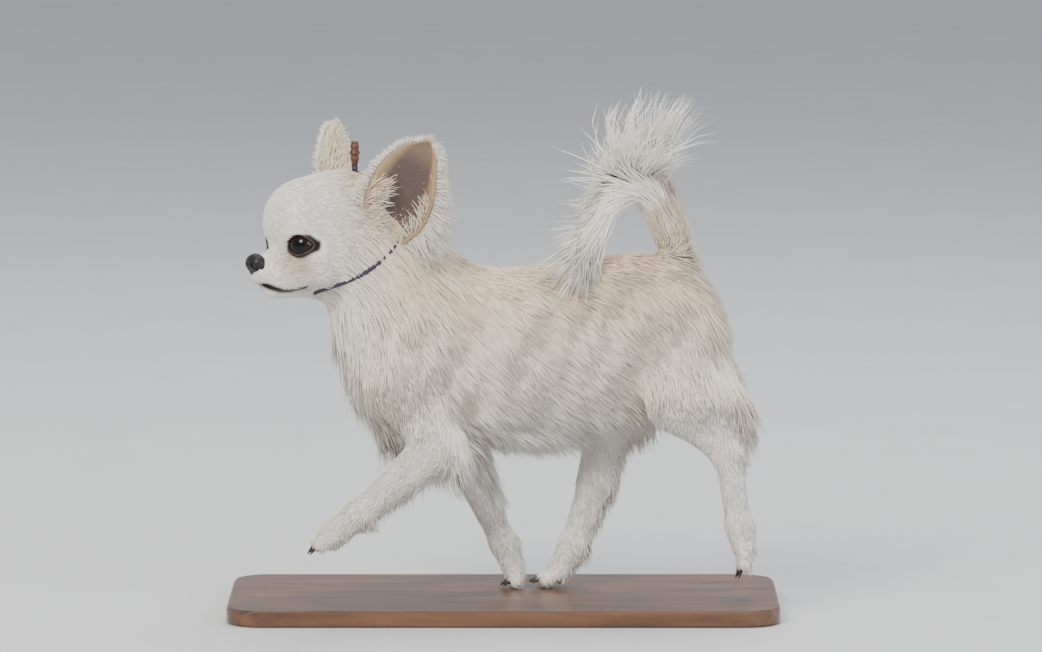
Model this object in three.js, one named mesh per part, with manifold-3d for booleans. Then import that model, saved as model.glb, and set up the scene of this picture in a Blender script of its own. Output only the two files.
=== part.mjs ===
// A long-coated toy dog at a trot, life size, on a plain flat base. Millimetres, +Z up, the dog faces -X.
// The origin is the centre of the base's underside. Each body part is a closed solid wrapped round a
// rounded limb shape, parted from its neighbours by a thin gap, with the long coat as flat tapered locks.
// Places on the dog are measured from the base's top face, with x and y from the origin.
import * as THREE from "three";
import { mergeVertices } from "three/addons/utils/BufferGeometryUtils.js";
import Module from "manifold-3d";

const wasm = await Module();
wasm.setup();

// Driving dimensions
const GAP = 0.3;
const BASE_LENGTH = 330;
const BASE_WIDTH = 150;
const BASE_THICK = 10;
const BASE_CORNER = 22;
const BASE_BEVEL = 1.5;
const HEAD_TURN = THREE.MathUtils.degToRad(27);
const EYE_RADIUS = 9.4;
const EYE_FORWARD = 28.5;
const EYE_SIDE = 16.5;
const EYE_DROP = -12;
const EYE_TURN = THREE.MathUtils.degToRad(36);
const LID_LONG = 8.6;
const LID_HIGH = 6.6;
const LID_THICK = 1.5;
const MOUTH_GROOVE = 0.9;
const NOSTRIL_RADIUS = 1.3;
const EAR_THICK = 1.7;
const EAR_CUP = 9;
const COLLAR_RADIUS = 1.4;
const SLIDE_LONG = 15;
const SLIDE_RADIUS = 3.2;
const CLAW_LONG = 6.5;
const CLAW_RADIUS = 1.5;
const LOCK_ROOT = 4;
const LOCK_THICK = 0.3;
const LONG_LOCK = 40;

const point = (x, y, z) => new THREE.Vector3(x, y, z);
const SIDEWAYS = point(0, 1, 0);
const UP = point(0, 0, 1);

// The head's own axes, turned to the dog's left about the vertical through the skull's centre
const HEAD_CENTRE = point(-100, -6, 226);
const FORWARD = point(-Math.cos(HEAD_TURN), -Math.sin(HEAD_TURN), 0);
const LEFT = point(Math.sin(HEAD_TURN), -Math.cos(HEAD_TURN), 0);
const BOTH_SIDES = { left: 1, right: -1 };

// A direction given as forward, left and up on the head, and a place given the same way
const alongHead = (forward, left, up) =>
  point(0, 0, 0).addScaledVector(FORWARD, forward).addScaledVector(LEFT, left).addScaledVector(UP, up);
const onHead = (forward, left, up) => alongHead(forward, left, up).add(HEAD_CENTRE);

// A limb is a rounded cone from a to b whose width across is wide times its depth
const limb = (a, b, ra, rb, wide = 1, blend = 8, side = SIDEWAYS) => ({ a, b, ra, rb, wide, blend, side });
const headLimb = (a, b, ra, rb, wide = 1, blend = 8) => limb(
  onHead(...a), onHead(...b), ra, rb, wide, blend, LEFT,
);

// Distance from p to a limb's surface, below zero inside
function limbDistance(p, { a, b, ra, rb, wide, side }) {
  const axis = b.clone().sub(a);
  const offset = p.clone().sub(a);
  const t = THREE.MathUtils.clamp(offset.dot(axis) / Math.max(axis.lengthSq(), 1e-6), 0, 1);
  offset.addScaledVector(axis, -t);
  const across = offset.dot(side);
  const deep2 = Math.max(offset.lengthSq() - across * across, 0);
  const narrow = across / wide;
  const reach = Math.sqrt(deep2 + narrow * narrow) + 1e-9;
  const slope = Math.sqrt(deep2 + (narrow * narrow) / (wide * wide)) + 1e-9;
  return ((reach - (ra + t * (rb - ra))) * reach) / slope;
}

// The lesser of two distances, rounded over blend where they meet
function smoothMin(a, b, blend) {
  const h = Math.max(blend - Math.abs(a - b), 0) / blend;
  return Math.min(a, b) - h * h * blend * 0.25;
}

// One field from a list of limbs, blended in turn
function fieldOf(limbs) {
  return (p) => limbs.reduce((d, next) => smoothMin(d, limbDistance(p, next), next.blend), 1e3);
}

// A closed solid from corner positions and triangles, turned the right way out
function solidFrom(positions, triangles) {
  const build = (tris) =>
    new wasm.Manifold(
      new wasm.Mesh(
        { numProp: 3, vertProperties: new Float32Array(positions), triVerts: new Uint32Array(tris) }
      ),
    );
  const solid = build(triangles);
  return solid.volume() > 0 ? solid : build(triangles.toReversed());
}

// A closed solid from a three.js geometry
function solidOf(geometry) {
  const bare = new THREE.BufferGeometry();
  bare.setAttribute("position", geometry.getAttribute("position"));
  if (geometry.index) bare.setIndex(geometry.index);
  const merged = mergeVertices(bare, 1e-3);
  return solidFrom([...merged.attributes.position.array], [...merged.index.array]);
}

// A closed solid from rings of corners, with a pole or a flat cap at each end
function solidOfRings(rings, firstPole, lastPole) {
  const sides = rings[0].length;
  const corners = rings.flat();
  const first = corners.push(firstPole) - 1;
  const last = corners.push(lastPole) - 1;
  const at = (ring, side) => ring * sides + (side % sides);
  const triangles = [];
  for (let s = 0; s < sides; s += 1) {
    triangles.push(first, at(0, s + 1), at(0, s));
    triangles.push(last, at(rings.length - 1, s), at(rings.length - 1, s + 1));
    for (let r = 0; r + 1 < rings.length; r += 1) {
      triangles.push(at(r, s), at(r, s + 1), at(r + 1, s + 1));
      triangles.push(at(r, s), at(r + 1, s + 1), at(r + 1, s));
    }
  }
  return solidFrom(corners.flatMap((c) => c.toArray()), triangles);
}

// The place where a ray from an inner point reaches the field's level
function castOut(field, from, direction, level = 0) {
  const stride = 3;
  const farthest = 90;
  const p = point(0, 0, 0);
  const value = (r) => field(p.copy(from).addScaledVector(direction, r));
  let outside = stride;
  while (outside < farthest && value(outside) < level) outside += stride;
  let inside = outside - stride;
  for (let i = 0; i < 14; i += 1) {
    const middle = (inside + outside) / 2;
    if (value(middle) < level) inside = middle;
    else outside = middle;
  }
  return from.clone().addScaledVector(direction, (inside + outside) / 2);
}

// Wraps a closed solid round a field: rings of rays square to a spine, and fans of rays at its ends
function wrap(field, spine, { rings, sides, caps = 3, side = SIDEWAYS }, grow = 0) {
  const curve = spine.length > 2 ? new THREE.CatmullRomCurve3(spine) : new THREE.LineCurve3(...spine);
  const ringAt = (t, tilt) => {
    const centre = curve.getPointAt(t);
    const tangent = curve.getTangentAt(t);
    const across = side.clone().addScaledVector(tangent, -side.dot(tangent)).normalize();
    const deep = tangent.clone().cross(across);
    return Array.from({ length: sides }, (_, s) => {
      const turn = (2 * Math.PI * s) / sides;
      const ray = across.clone().multiplyScalar(Math.cos(turn)).addScaledVector(deep, Math.sin(turn));
      ray.multiplyScalar(Math.cos(tilt)).addScaledVector(tangent, Math.sin(tilt));
      return castOut(field, centre, ray, grow);
    });
  };
  const pole = (t, sign) => castOut(
    field, curve.getPointAt(t), curve.getTangentAt(t).multiplyScalar(sign), grow,
  );
  const list = [];
  for (let c = caps - 1; c > 0; c -= 1) list.push(ringAt(0, (-Math.PI / 2) * (c / caps)));
  for (let r = 0; r <= rings; r += 1) list.push(ringAt(r / rings, 0));
  for (let c = 1; c < caps; c += 1) list.push(ringAt(1, (Math.PI / 2) * (c / caps)));
  return solidOfRings(list, pole(0, -1), pole(1, 1));
}

// Keeps the part of a solid on the side of a plane that its direction points to, less half a gap
function trim(solid, plane, sign, grow = 0) {
  const direction = plane.direction.clone().multiplyScalar(sign).normalize();
  return solid.trimByPlane(direction.toArray(), direction.dot(plane.at) + GAP / 2 - grow);
}

// Numbers from 0 to 1 that are the same each time for one seed
function seededRandom(seed) {
  let state = seed;
  return () => {
    state = (state * 1664525 + 1013904223) % 4294967296;
    return state / 4294967296;
  };
}

// One flat lock of coat: a low ridged section carried from a sunk root along the lie to a fine tip,
// pushed clear of the body under it, so that its outer half stands over the next one
function lock({ root, out, lie, fall, length, width, stand }, field, grow) {
  const breadth = length > LONG_LOCK ? [0.7, 1, 1, 0.75, 0] : [0.75, 1, 0.85, 0];
  const steps = breadth.length - 1;
  const thick = width * LOCK_THICK;
  const middle = root.clone().addScaledVector(out, -LOCK_ROOT);
  const rings = [];
  let tip = middle;
  for (let i = 0; i <= steps; i += 1) {
    const t = i / steps;
    const along = lie.clone().lerp(fall, t).normalize();
    if (i > 0) middle.addScaledVector(along, length / steps);
    const short = stand * t - field(middle);
    if (i > 0 && short > 0) middle.addScaledVector(out, Math.min(short, length / steps));
    const across = along.clone().cross(out).normalize();
    const face = across.clone().cross(along);
    const half = (width / 2) * breadth[i] + grow;
    const deep = (thick / 2) * Math.max(breadth[i], 0.3) + grow;
    tip = middle.clone().addScaledVector(along, grow);
    if (i === steps) break;
    rings.push([
      middle.clone().addScaledVector(across, half).addScaledVector(face, -deep / 2),
      middle.clone().addScaledVector(face, deep),
      middle.clone().addScaledVector(across, -half).addScaledVector(face, -deep / 2),
    ]);
  }
  return solidOfRings(rings, root.clone().addScaledVector(out, -LOCK_ROOT - grow), tip);
}

// The locks of one row: roots spaced along an inner line and cast out to the coat, each drawn a little
// longer or shorter and turned a little by the row's seed
function rowOfLocks(row, field, seed, grow) {
  const random = seededRandom(seed);
  const vary = (amount) => (random() - 0.5) * 2 * amount;
  return Array.from({ length: row.count }, (_, i) => {
    const t = row.count > 1 ? i / (row.count - 1) : 0.5;
    const out = row.out.clone().lerp(row.outEnd ?? row.out, t).normalize();
    const from = row.from.clone().lerp(row.to, t);
    const lie = row.lie.clone().lerp(row.lieEnd ?? row.lie, t);
    const fall = row.fall.clone().lerp(row.fallEnd ?? row.fall, t);
    const sway = point(vary(0.15), vary(0.15), vary(0.15));
    const one = {
      root: castOut(field, from, out),
      out,
      lie: lie.normalize(),
      fall: fall.add(sway).normalize(),
      length: (row.length + t * ((row.lengthEnd ?? row.length) - row.length)) * (1 + vary(0.12)),
      width: row.width * (1 + vary(0.12)),
      stand: row.stand ?? 1.5,
    };
    return lock(one, field, grow);
  });
}

// The trunk and neck: places along the spine, with depth and width of the body under the coat
const TRUNK = [
  limb(point(-66, 0, 140), point(-52, 0, 112), 25, 24, 0.95, 16),
  limb(point(-35, 0, 147), point(10, 0, 146), 53, 50, 0.7, 16),
  limb(point(10, 0, 146), point(48, 0, 152), 50, 47.5, 0.72, 16),
  limb(point(48, 0, 152), point(82, 0, 163), 47.5, 42, 0.74, 16),
  limb(point(82, 0, 163), point(92, 0, 164), 42, 37, 0.8, 16),
  limb(point(-44, 0, 158), point(-78, -4, 214), 44, 34, 0.82, 18),
  limb(point(-84, -3, 190), point(-66, 0, 140), 29, 29, 0.95, 18),
];
const TRUNK_SPINE = [point(90, 0, 164), point(45, 0, 153), point(0, 0, 147), point(-38, 0, 150)];
const NECK_SPINE = [point(-52, -1, 174), point(-66, -2, 194), point(-78, -4, 212)];
const NECK_ROOT = { at: point(-60, -1, 182), direction: point(-0.5, -0.06, 0.86) };

// The skull, stop, brows, cheeks, muzzle and jaw
const SKULL = [
  headLimb([-4, 0, 0], [0, 0, 0], 32, 32, 0.95),
  headLimb([20, 0, 1], [21, 0, 1], 26, 26, 0.98),
  headLimb([26, 0, -25], [47, 0, -27], 15, 10.5, 1.02),
  headLimb([14, 0, -33], [43, 0, -38], 12, 7, 1.1),
  ...Object.values(BOTH_SIDES).flatMap((s) => [
    headLimb([6, 15 * s, -20], [12, 13 * s, -22], 18, 16),
    headLimb([26, 12 * s, -2], [28, 12 * s, -3], 11, 10),
    headLimb([20, 13 * s, -21], [38, 6 * s, -29], 14, 8.5),
  ]),
];
const HEAD_SPINE = [onHead(-14, 0, 2), onHead(12, 0, -6), onHead(32, 0, -20), onHead(46, 0, -30)];
const NOSE = [
  headLimb([53.5, 3, -22.5], [53.5, -3, -22.5], 4.8, 4.8, 1, 3),
  headLimb([54.5, 0, -22], [53.5, 0, -27.5], 4, 2.4, 1, 3),
];

// The legs: for each, the lengths between its joints, top to bottom, and its paw.
// The left fore and left hind paws are lifted in the stride, the right ones stand on the base.
const LEGS = {
  foreleg_left: {
    names: ["upper_arm_left", "forearm_left", "forepaw_left"],
    upper: [
      limb(point(-50, -22, 160), point(-60, -26, 130), 22, 21, 0.62, 12),
      limb(point(-60, -26, 130), point(-38, -28, 93), 21, 15, 0.66, 12),
    ],
    lower: [limb(point(-38, -28, 93), point(-86, -26, 52), 15, 8.6, 0.8)],
    paw: [limb(point(-86, -26, 52), point(-104, -26, 38), 8.6, 8.4, 0.95)],
    toes: {
      at: point(-104, -26, 37), to: point(-111, -26, 33.5), spread: 4.4, claw: point(-0.75, 0, -0.66),
    },
  },
  foreleg_right: {
    names: ["upper_arm_right", "forearm_right", "forepaw_right"],
    upper: [
      limb(point(-50, 22, 160), point(-58, 26, 130), 22, 21, 0.62, 12),
      limb(point(-58, 26, 130), point(-26, 24, 85), 21, 14, 0.66, 12),
    ],
    lower: [limb(point(-26, 24, 85), point(0, 20, 27), 14, 8.4, 0.8)],
    paw: [limb(point(0, 20, 27), point(6, 19, 11), 8.4, 7.6, 0.95)],
    toes: { at: point(6, 19, 10), to: point(6, 19, 4.5), spread: 4.2, claw: point(-0.8, 0, -0.25) },
  },
  hindleg_left: {
    names: ["thigh_left", "shank_left", "hindpaw_left"],
    upper: [
      limb(point(98, -15, 163), point(104, -28, 120), 28, 19, 0.6, 14),
      limb(point(106, -15, 158), point(128, -24, 120), 25, 19, 0.62, 14),
      limb(point(104, -28, 118), point(133, -24, 88), 17, 9.5, 0.7, 10),
      limb(point(128, -24, 118), point(134, -24, 90), 16, 9.5, 0.66, 10),
    ],
    lower: [limb(point(134, -24, 88), point(141, -24, 44), 9.2, 8, 0.85)],
    paw: [limb(point(141, -24, 44), point(144, -24, 32), 8, 8.2, 0.95)],
    toes: { at: point(144, -24, 31), to: point(143, -24, 21), spread: 4.2, claw: point(-0.45, 0, -0.9) },
  },
  hindleg_right: {
    names: ["thigh_right", "shank_right", "hindpaw_right"],
    upper: [
      limb(point(96, 15, 163), point(64, 26, 108), 30, 20, 0.6, 14),
      limb(point(64, 26, 108), point(57, 23, 66), 20, 12, 0.7, 10),
    ],
    lower: [limb(point(57, 23, 66), point(42, 20.5, 25), 12, 9, 0.8)],
    paw: [limb(point(42, 20.5, 25), point(33, 20, 10), 9, 8.2, 0.95)],
    toes: { at: point(33, 20, 9), to: point(24, 20, 5), spread: 4.4, claw: point(-0.93, 0, -0.1) },
  },
};
const THIGH_SPINES = {
  thigh_left: [point(100, -18, 158), point(114, -25, 122), point(131, -24, 94)],
  thigh_right: [point(90, 17, 154), point(66, 25, 112), point(58, 23, 72)],
};

// The tail's core: rising from the croup, over, and falling towards the back
const TAIL = [
  limb(point(103, 0, 188), point(99, 0, 222), 12, 11, 0.85),
  limb(point(99, 0, 222), point(89, 0, 242), 11, 11, 0.85),
  limb(point(89, 0, 242), point(74, -4, 246), 11, 10, 0.85),
  limb(point(74, -4, 246), point(62, -10, 233), 10, 8, 0.85),
  limb(point(62, -10, 233), point(54, -17, 217), 8, 6, 0.85),
];
const TAIL_LENGTHS = {
  tail_root: { limbs: TAIL.slice(0, 1), spine: [point(103, 0, 190), point(99, 0, 221)] },
  tail_arch: { limbs: TAIL.slice(1, 3), spine: [point(99, 0, 223), point(90, 0, 241), point(75, -4, 246)] },
  tail_end: { limbs: TAIL.slice(3), spine: [point(73, -4, 245), point(62, -10, 233), point(55, -16, 219)] },
};
const TAIL_JOINTS = {
  tail_root: [null, { at: point(99, 0, 222), direction: point(-0.3, 0, 0.95) }],
  tail_arch: [
    { at: point(99, 0, 222), direction: point(-0.3, 0, 0.95) },
    { at: point(74, -4, 246), direction: point(-0.9, -0.3, -0.35) },
  ],
  tail_end: [{ at: point(74, -4, 246), direction: point(-0.9, -0.3, -0.35) }, null],
};

const trunkField = fieldOf(TRUNK);
const headField = fieldOf(SKULL);
const noseField = fieldOf(NOSE);

// One length of a leg, rounded at both ends, to be trimmed at its joints
function legLength(limbs, spine, grow) {
  return wrap(fieldOf(limbs), spine, { rings: 5, sides: 10 }, grow);
}

// The plane through a joint that lies evenly between the lengths above and below it
function jointPlane(above, below) {
  const down = above.b.clone().sub(above.a).normalize();
  return { at: below.a, direction: down.add(below.b.clone().sub(below.a).normalize()) };
}

// One claw, a fine cone that leaves the toe along a direction
function claw(at, direction, grow) {
  const cone = new THREE.ConeGeometry(CLAW_RADIUS + grow, CLAW_LONG + grow, 4);
  cone.applyQuaternion(new THREE.Quaternion().setFromUnitVectors(SIDEWAYS, direction.clone().normalize()));
  const middle = at.clone().addScaledVector(direction.clone().normalize(), CLAW_LONG / 2);
  return solidOf(cone.translate(middle.x, middle.y, middle.z));
}

// A paw: the length from wrist or hock to the ball, with four toes and their claws
function paw({ paw: limbs, toes }, grow) {
  const { a, b } = limbs[0];
  const pieces = [wrap(fieldOf(limbs), [a, b], { rings: 2, sides: 8 }, grow)];
  for (const place of [-1.5, -0.5, 0.5, 1.5]) {
    const back = Math.abs(place) > 1 ? 1.5 : 0;
    const root = toes.at.clone().add(point(0, place * toes.spread * 0.75, 0));
    const end = toes.to.clone().add(point(back, place * toes.spread, 0));
    const toe = limb(root, end, 4.6, 4, 0.8, 2);
    pieces.push(wrap(fieldOf([toe]), [root, end], { rings: 1, sides: 5, caps: 2 }, grow));
    pieces.push(claw(end.clone().addScaledVector(toes.claw, 1.5), toes.claw, grow));
  }
  return wasm.Manifold.union(pieces);
}

// An ear: a thin cupped leaf, broad low down, leaning back to a rounded tip
function ear(s, grow) {
  const root = onHead(-17, 30 * s, -14);
  const tip = onHead(-30, 64.5 * s, 51);
  const axis = tip.clone().sub(root);
  const long = axis.length();
  axis.normalize();
  const open = alongHead(0.454, 0.891 * s, 0.1);
  open.addScaledVector(axis, -open.dot(axis)).normalize();
  const front = open.clone().cross(axis).multiplyScalar(-s).normalize();
  if (front.dot(FORWARD) < 0) front.negate();
  const leaf = [
    [0.0, 8, 7, 4, 0],
    [0.12, 14, 11, 2.6, 0.5],
    [0.26, 20, 16, 1.3, 0.9],
    [0.46, 22.5, 17, 1, 0.75],
    [0.64, 21.5, 14.5, 1, 0.55],
    [0.8, 17, 10.5, 0.9, 0.35],
    [0.92, 10.5, 6.5, 0.8, 0.2],
  ];
  const steps = 7;
  const rings = leaf.map(([v, ahead, behind, fat, cup]) => {
    const centre = root.clone().addScaledVector(axis, v * long);
    const across = (u, face) => {
      const reach = (u > 0 ? ahead : behind) + grow;
      const thick = (EAR_THICK * fat) / 2 + grow;
      const hollow = -EAR_CUP * cup * (1 - u * u) + face * thick * (1 - 0.3 * u * u);
      return centre.clone().addScaledVector(front, u * reach).addScaledVector(open, hollow);
    };
    const outer = Array.from({ length: steps }, (_, i) => across(-1 + (2 * i) / (steps - 1), -1));
    const inner = Array.from({ length: steps }, (_, i) => across(1 - (2 * i) / (steps - 1), 1));
    return [...outer, ...inner];
  });
  const leafSolid = solidOfRings(
    rings,
    root.clone().addScaledVector(axis, -2 - grow),
    tip.clone().addScaledVector(axis, grow),
  );
  const rim = (v, ahead) => root.clone().addScaledVector(axis, v * long).addScaledVector(front, ahead);
  return { leafSolid, axis, front, open, low: rim(0.2, -11), high: rim(0.72, -9) };
}

// An ear with the fringe that hangs from its rear rim
function fringedEar(s, grow) {
  const { leafSolid, axis, front, low, high } = ear(s, grow);
  const back = front.clone().negate();
  const fringe = {
    ...row([0, 0, 0], [0, 0, 0], 3, [0, 0, 1], [0, 0, 1], [0, 0, 1], 26, 13, { lengthEnd: 17 }),
    from: low,
    to: high,
    out: back,
    lie: back.clone().multiplyScalar(0.8).addScaledVector(axis, 0.2).add(point(0, 0, -0.4)),
    fall: back.clone().multiplyScalar(0.6).add(point(0, 0, -0.8)),
    stand: 0,
  };
  const rimField = fieldOf([limb(low, high, 3, 3)]);
  return wasm.Manifold.union([leafSolid, ...rowOfLocks(fringe, rimField, 5 + s, grow)]);
}

// An eyeball, set in its socket
function eye(s, grow) {
  const ball = new THREE.SphereGeometry(EYE_RADIUS + grow, 10, 8);
  const at = onHead(EYE_FORWARD, EYE_SIDE * s, EYE_DROP);
  return solidOf(ball.translate(at.x, at.y, at.z));
}

// A closed tube: a ring of small sections carried round a closed line
function closedTube(places, radius, sections, sides) {
  const curve = new THREE.CatmullRomCurve3(places, true);
  const corners = [];
  for (let r = 0; r < sections; r += 1) {
    const centre = curve.getPointAt(r / sections);
    const tangent = curve.getTangentAt(r / sections);
    const across = UP.clone().cross(tangent).normalize();
    if (across.lengthSq() < 0.5) across.copy(SIDEWAYS);
    const high = tangent.clone().cross(across);
    for (let s = 0; s < sides; s += 1) {
      const turn = (2 * Math.PI * s) / sides;
      corners.push(
        centre
          .clone()
          .addScaledVector(across, radius * Math.cos(turn))
          .addScaledVector(high, radius * Math.sin(turn)),
      );
    }
  }
  const at = (r, s) => (r % sections) * sides + (s % sides);
  const triangles = [];
  for (let r = 0; r < sections; r += 1) {
    for (let s = 0; s < sides; s += 1) {
      triangles.push(at(r, s), at(r, s + 1), at(r + 1, s + 1));
      triangles.push(at(r, s), at(r + 1, s + 1), at(r + 1, s));
    }
  }
  return solidFrom(corners.flatMap((c) => c.toArray()), triangles);
}

// The rim of the lids: an almond ring standing off the face round the eyeball
function lids(s, grow) {
  const gaze = alongHead(Math.cos(EYE_TURN), s * Math.sin(EYE_TURN), 0.08).normalize();
  const along = UP.clone().cross(gaze).normalize();
  const high = gaze.clone().cross(along);
  const centre = onHead(EYE_FORWARD, EYE_SIDE * s, EYE_DROP);
  const places = Array.from({ length: 12 }, (_, i) => {
    const turn = (2 * Math.PI * i) / 12;
    const ray = gaze
      .clone()
      .multiplyScalar(Math.sqrt(EYE_RADIUS ** 2 - LID_HIGH ** 2) * (1 - 0.25 * Math.cos(turn) ** 2))
      .addScaledVector(along, LID_LONG * Math.cos(turn))
      .addScaledVector(high, LID_HIGH * Math.sin(turn));
    return centre.clone().addScaledVector(ray.normalize(), EYE_RADIUS);
  });
  return closedTube(places, LID_THICK + grow, 12, 5);
}

// The groove of the mouth, from one corner round under the nose to the other
function mouth() {
  const inner = [
    [24, 6, -33, -0.1, 1, -0.1],
    [34, 4, -34, 0.1, 1, -0.15],
    [43, 3, -34, 0.6, 0.8, -0.2],
    [46, 0, -33.5, 1, 0, -0.1],
  ];
  const right = inner.map(
    ([f, l, u, rf, rl, ru]) => castOut(headField, onHead(f, -l, u), alongHead(rf, -rl, ru))
  );
  const left = inner.map(
    ([f, l, u, rf, rl, ru]) => castOut(headField, onHead(f, l, u), alongHead(rf, rl, ru))
  );
  const line = new THREE.CatmullRomCurve3([...left, ...right.slice(0, 3).reverse()]);
  const rings = Array.from({ length: 13 }, (_, r) => {
    const centre = line.getPointAt(r / 12);
    const tangent = line.getTangentAt(r / 12);
    const across = UP.clone().cross(tangent).normalize();
    return Array.from({ length: 4 }, (_, s) => {
      const turn = (2 * Math.PI * s) / 4;
      return centre
        .clone()
        .addScaledVector(across, 2 * MOUTH_GROOVE * Math.cos(turn))
        .addScaledVector(UP, MOUTH_GROOVE * Math.sin(turn));
    });
  });
  return solidOfRings(rings, line.getPointAt(0), line.getPointAt(1));
}

// The collar's round, from behind the skull down behind the ears and forward under the jaw
const COLLAR_PLACES = [
  [point(-89, -4, 230), point(0, 0, 1)],
  [point(-76, -4, 226), point(0.55, -0.55, 0.6)],
  [point(-74, -4, 214), point(0.5, -0.85, 0.2)],
  [point(-72, -4, 207), point(0.1, -1, 0)],
  [point(-76, -4, 198), point(-0.35, -0.95, -0.1)],
  [point(-84, -4, 192), point(-0.8, -0.6, -0.2)],
  [point(-86, -5, 190), point(-1, 0, -0.3)],
];
const bodyField = fieldOf([...TRUNK, ...SKULL]);
function collar(grow) {
  const side = (sign) =>
    COLLAR_PLACES.map(([from, way]) =>
      castOut(bodyField, from, point(way.x, way.y * sign, way.z).normalize(), 0.4),
    );
  const near = side(1);
  const far = side(-1).slice(1, -1).reverse();
  return closedTube([...near, ...far], COLLAR_RADIUS + grow, 30, 4);
}

// The two-lobed slide that stands where the collar's ends meet behind the skull
function slide(grow) {
  const foot = castOut(bodyField, ...[COLLAR_PLACES[0][0], UP], 0.4).addScaledVector(
    UP, COLLAR_RADIUS + 0.4,
  );
  const lobe = (low, high) =>
    limb(
      foot.clone().addScaledVector(UP, low),
      foot.clone().addScaledVector(UP, high),
      SLIDE_RADIUS,
      SLIDE_RADIUS * 0.9,
      1,
      2,
    );
  const field = fieldOf([lobe(SLIDE_RADIUS, SLIDE_LONG * 0.4), lobe(SLIDE_LONG * 0.62, SLIDE_LONG * 0.78)]);
  const line = [
    foot.clone().addScaledVector(UP, SLIDE_RADIUS), foot.clone().addScaledVector(UP, SLIDE_LONG * 0.78),
  ];
  return wrap(field, line, { rings: 5, sides: 8 }, grow);
}

// The head with lids, lips and mouth line, less the nostrils' and mouth's hollows
function head(grow) {
  const skull = wrap(headField, HEAD_SPINE, { rings: 10, sides: 19, caps: 4, side: LEFT }, grow);
  const whole = wasm.Manifold.union([skull, lids(1, grow), lids(-1, grow)]);
  return grow > 0 ? whole : whole.subtract(mouth());
}

function nose(grow) {
  const tip = wrap(
    noseField, [onHead(53.5, 2.5, -23), onHead(53.5, -2.5, -23)], { rings: 2, sides: 10, side: UP },
    grow,
  );
  if (grow > 0) return tip;
  const nostril = (s) => {
    const hole = new THREE.SphereGeometry(NOSTRIL_RADIUS, 6, 4);
    const at = onHead(57.6, 3.6 * s, -23.5);
    return solidOf(hole.translate(at.x, at.y, at.z));
  };
  return wasm.Manifold.difference([tip, nostril(1), nostril(-1)]);
}

function neck(grow) {
  return trim(wrap(trunkField, NECK_SPINE, { rings: 4, sides: 16, caps: 3 }, grow), NECK_ROOT, 1, grow);
}

function torso(grow) {
  return trim(wrap(trunkField, TRUNK_SPINE, { rings: 11, sides: 20, caps: 3 }, grow), NECK_ROOT, -1, grow);
}

function tailLength(name, grow) {
  const { limbs, spine } = TAIL_LENGTHS[name];
  const [from, to] = TAIL_JOINTS[name];
  let solid = wrap(fieldOf(limbs), spine, { rings: 4, sides: 10 }, grow);
  if (from) solid = trim(solid, from, 1, grow);
  if (to) solid = trim(solid, to, -1, grow);
  return solid;
}

// The base plate: a rounded rectangle with a bevelled edge, its top face at the dog's ground level
function base() {
  const x = BASE_LENGTH / 2 - BASE_CORNER;
  const y = BASE_WIDTH / 2 - BASE_CORNER;
  const r = BASE_CORNER - BASE_BEVEL;
  const outline = new THREE.Shape();
  outline.absarc(x, y, r, 0, Math.PI / 2);
  outline.absarc(-x, y, r, Math.PI / 2, Math.PI);
  outline.absarc(-x, -y, r, Math.PI, 1.5 * Math.PI);
  outline.absarc(x, -y, r, 1.5 * Math.PI, 2 * Math.PI);
  const plate = new THREE.ExtrudeGeometry(outline, {
    depth: BASE_THICK - 2 * BASE_BEVEL,
    bevelThickness: BASE_BEVEL,
    bevelSize: BASE_BEVEL,
    bevelSegments: 1,
    curveSegments: 5,
  });
  return solidOf(plate.translate(0, 0, BASE_BEVEL - BASE_THICK));
}

// The long coat: rows of locks by the node they grow on. A row's roots lie where rays along out, from
// the line between from and to, meet the coat. Its locks leave along lie and hang along fall.
const row = (from, to, count, out, lie, fall, length, width, more = {}) => ({
  from: point(...from),
  to: point(...to),
  count,
  out: point(...out).normalize(),
  lie: point(...lie),
  fall: point(...fall),
  length,
  width,
  ...more,
});
const finish = (out, lie, fall, lengthEnd) => ({
  outEnd: point(...out).normalize(),
  lieEnd: point(...lie),
  fallEnd: point(...fall),
  lengthEnd,
});
// The same row on the near and the far side of the trunk
const onBothSides = (make) => [make(-1), make(1)];

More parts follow.
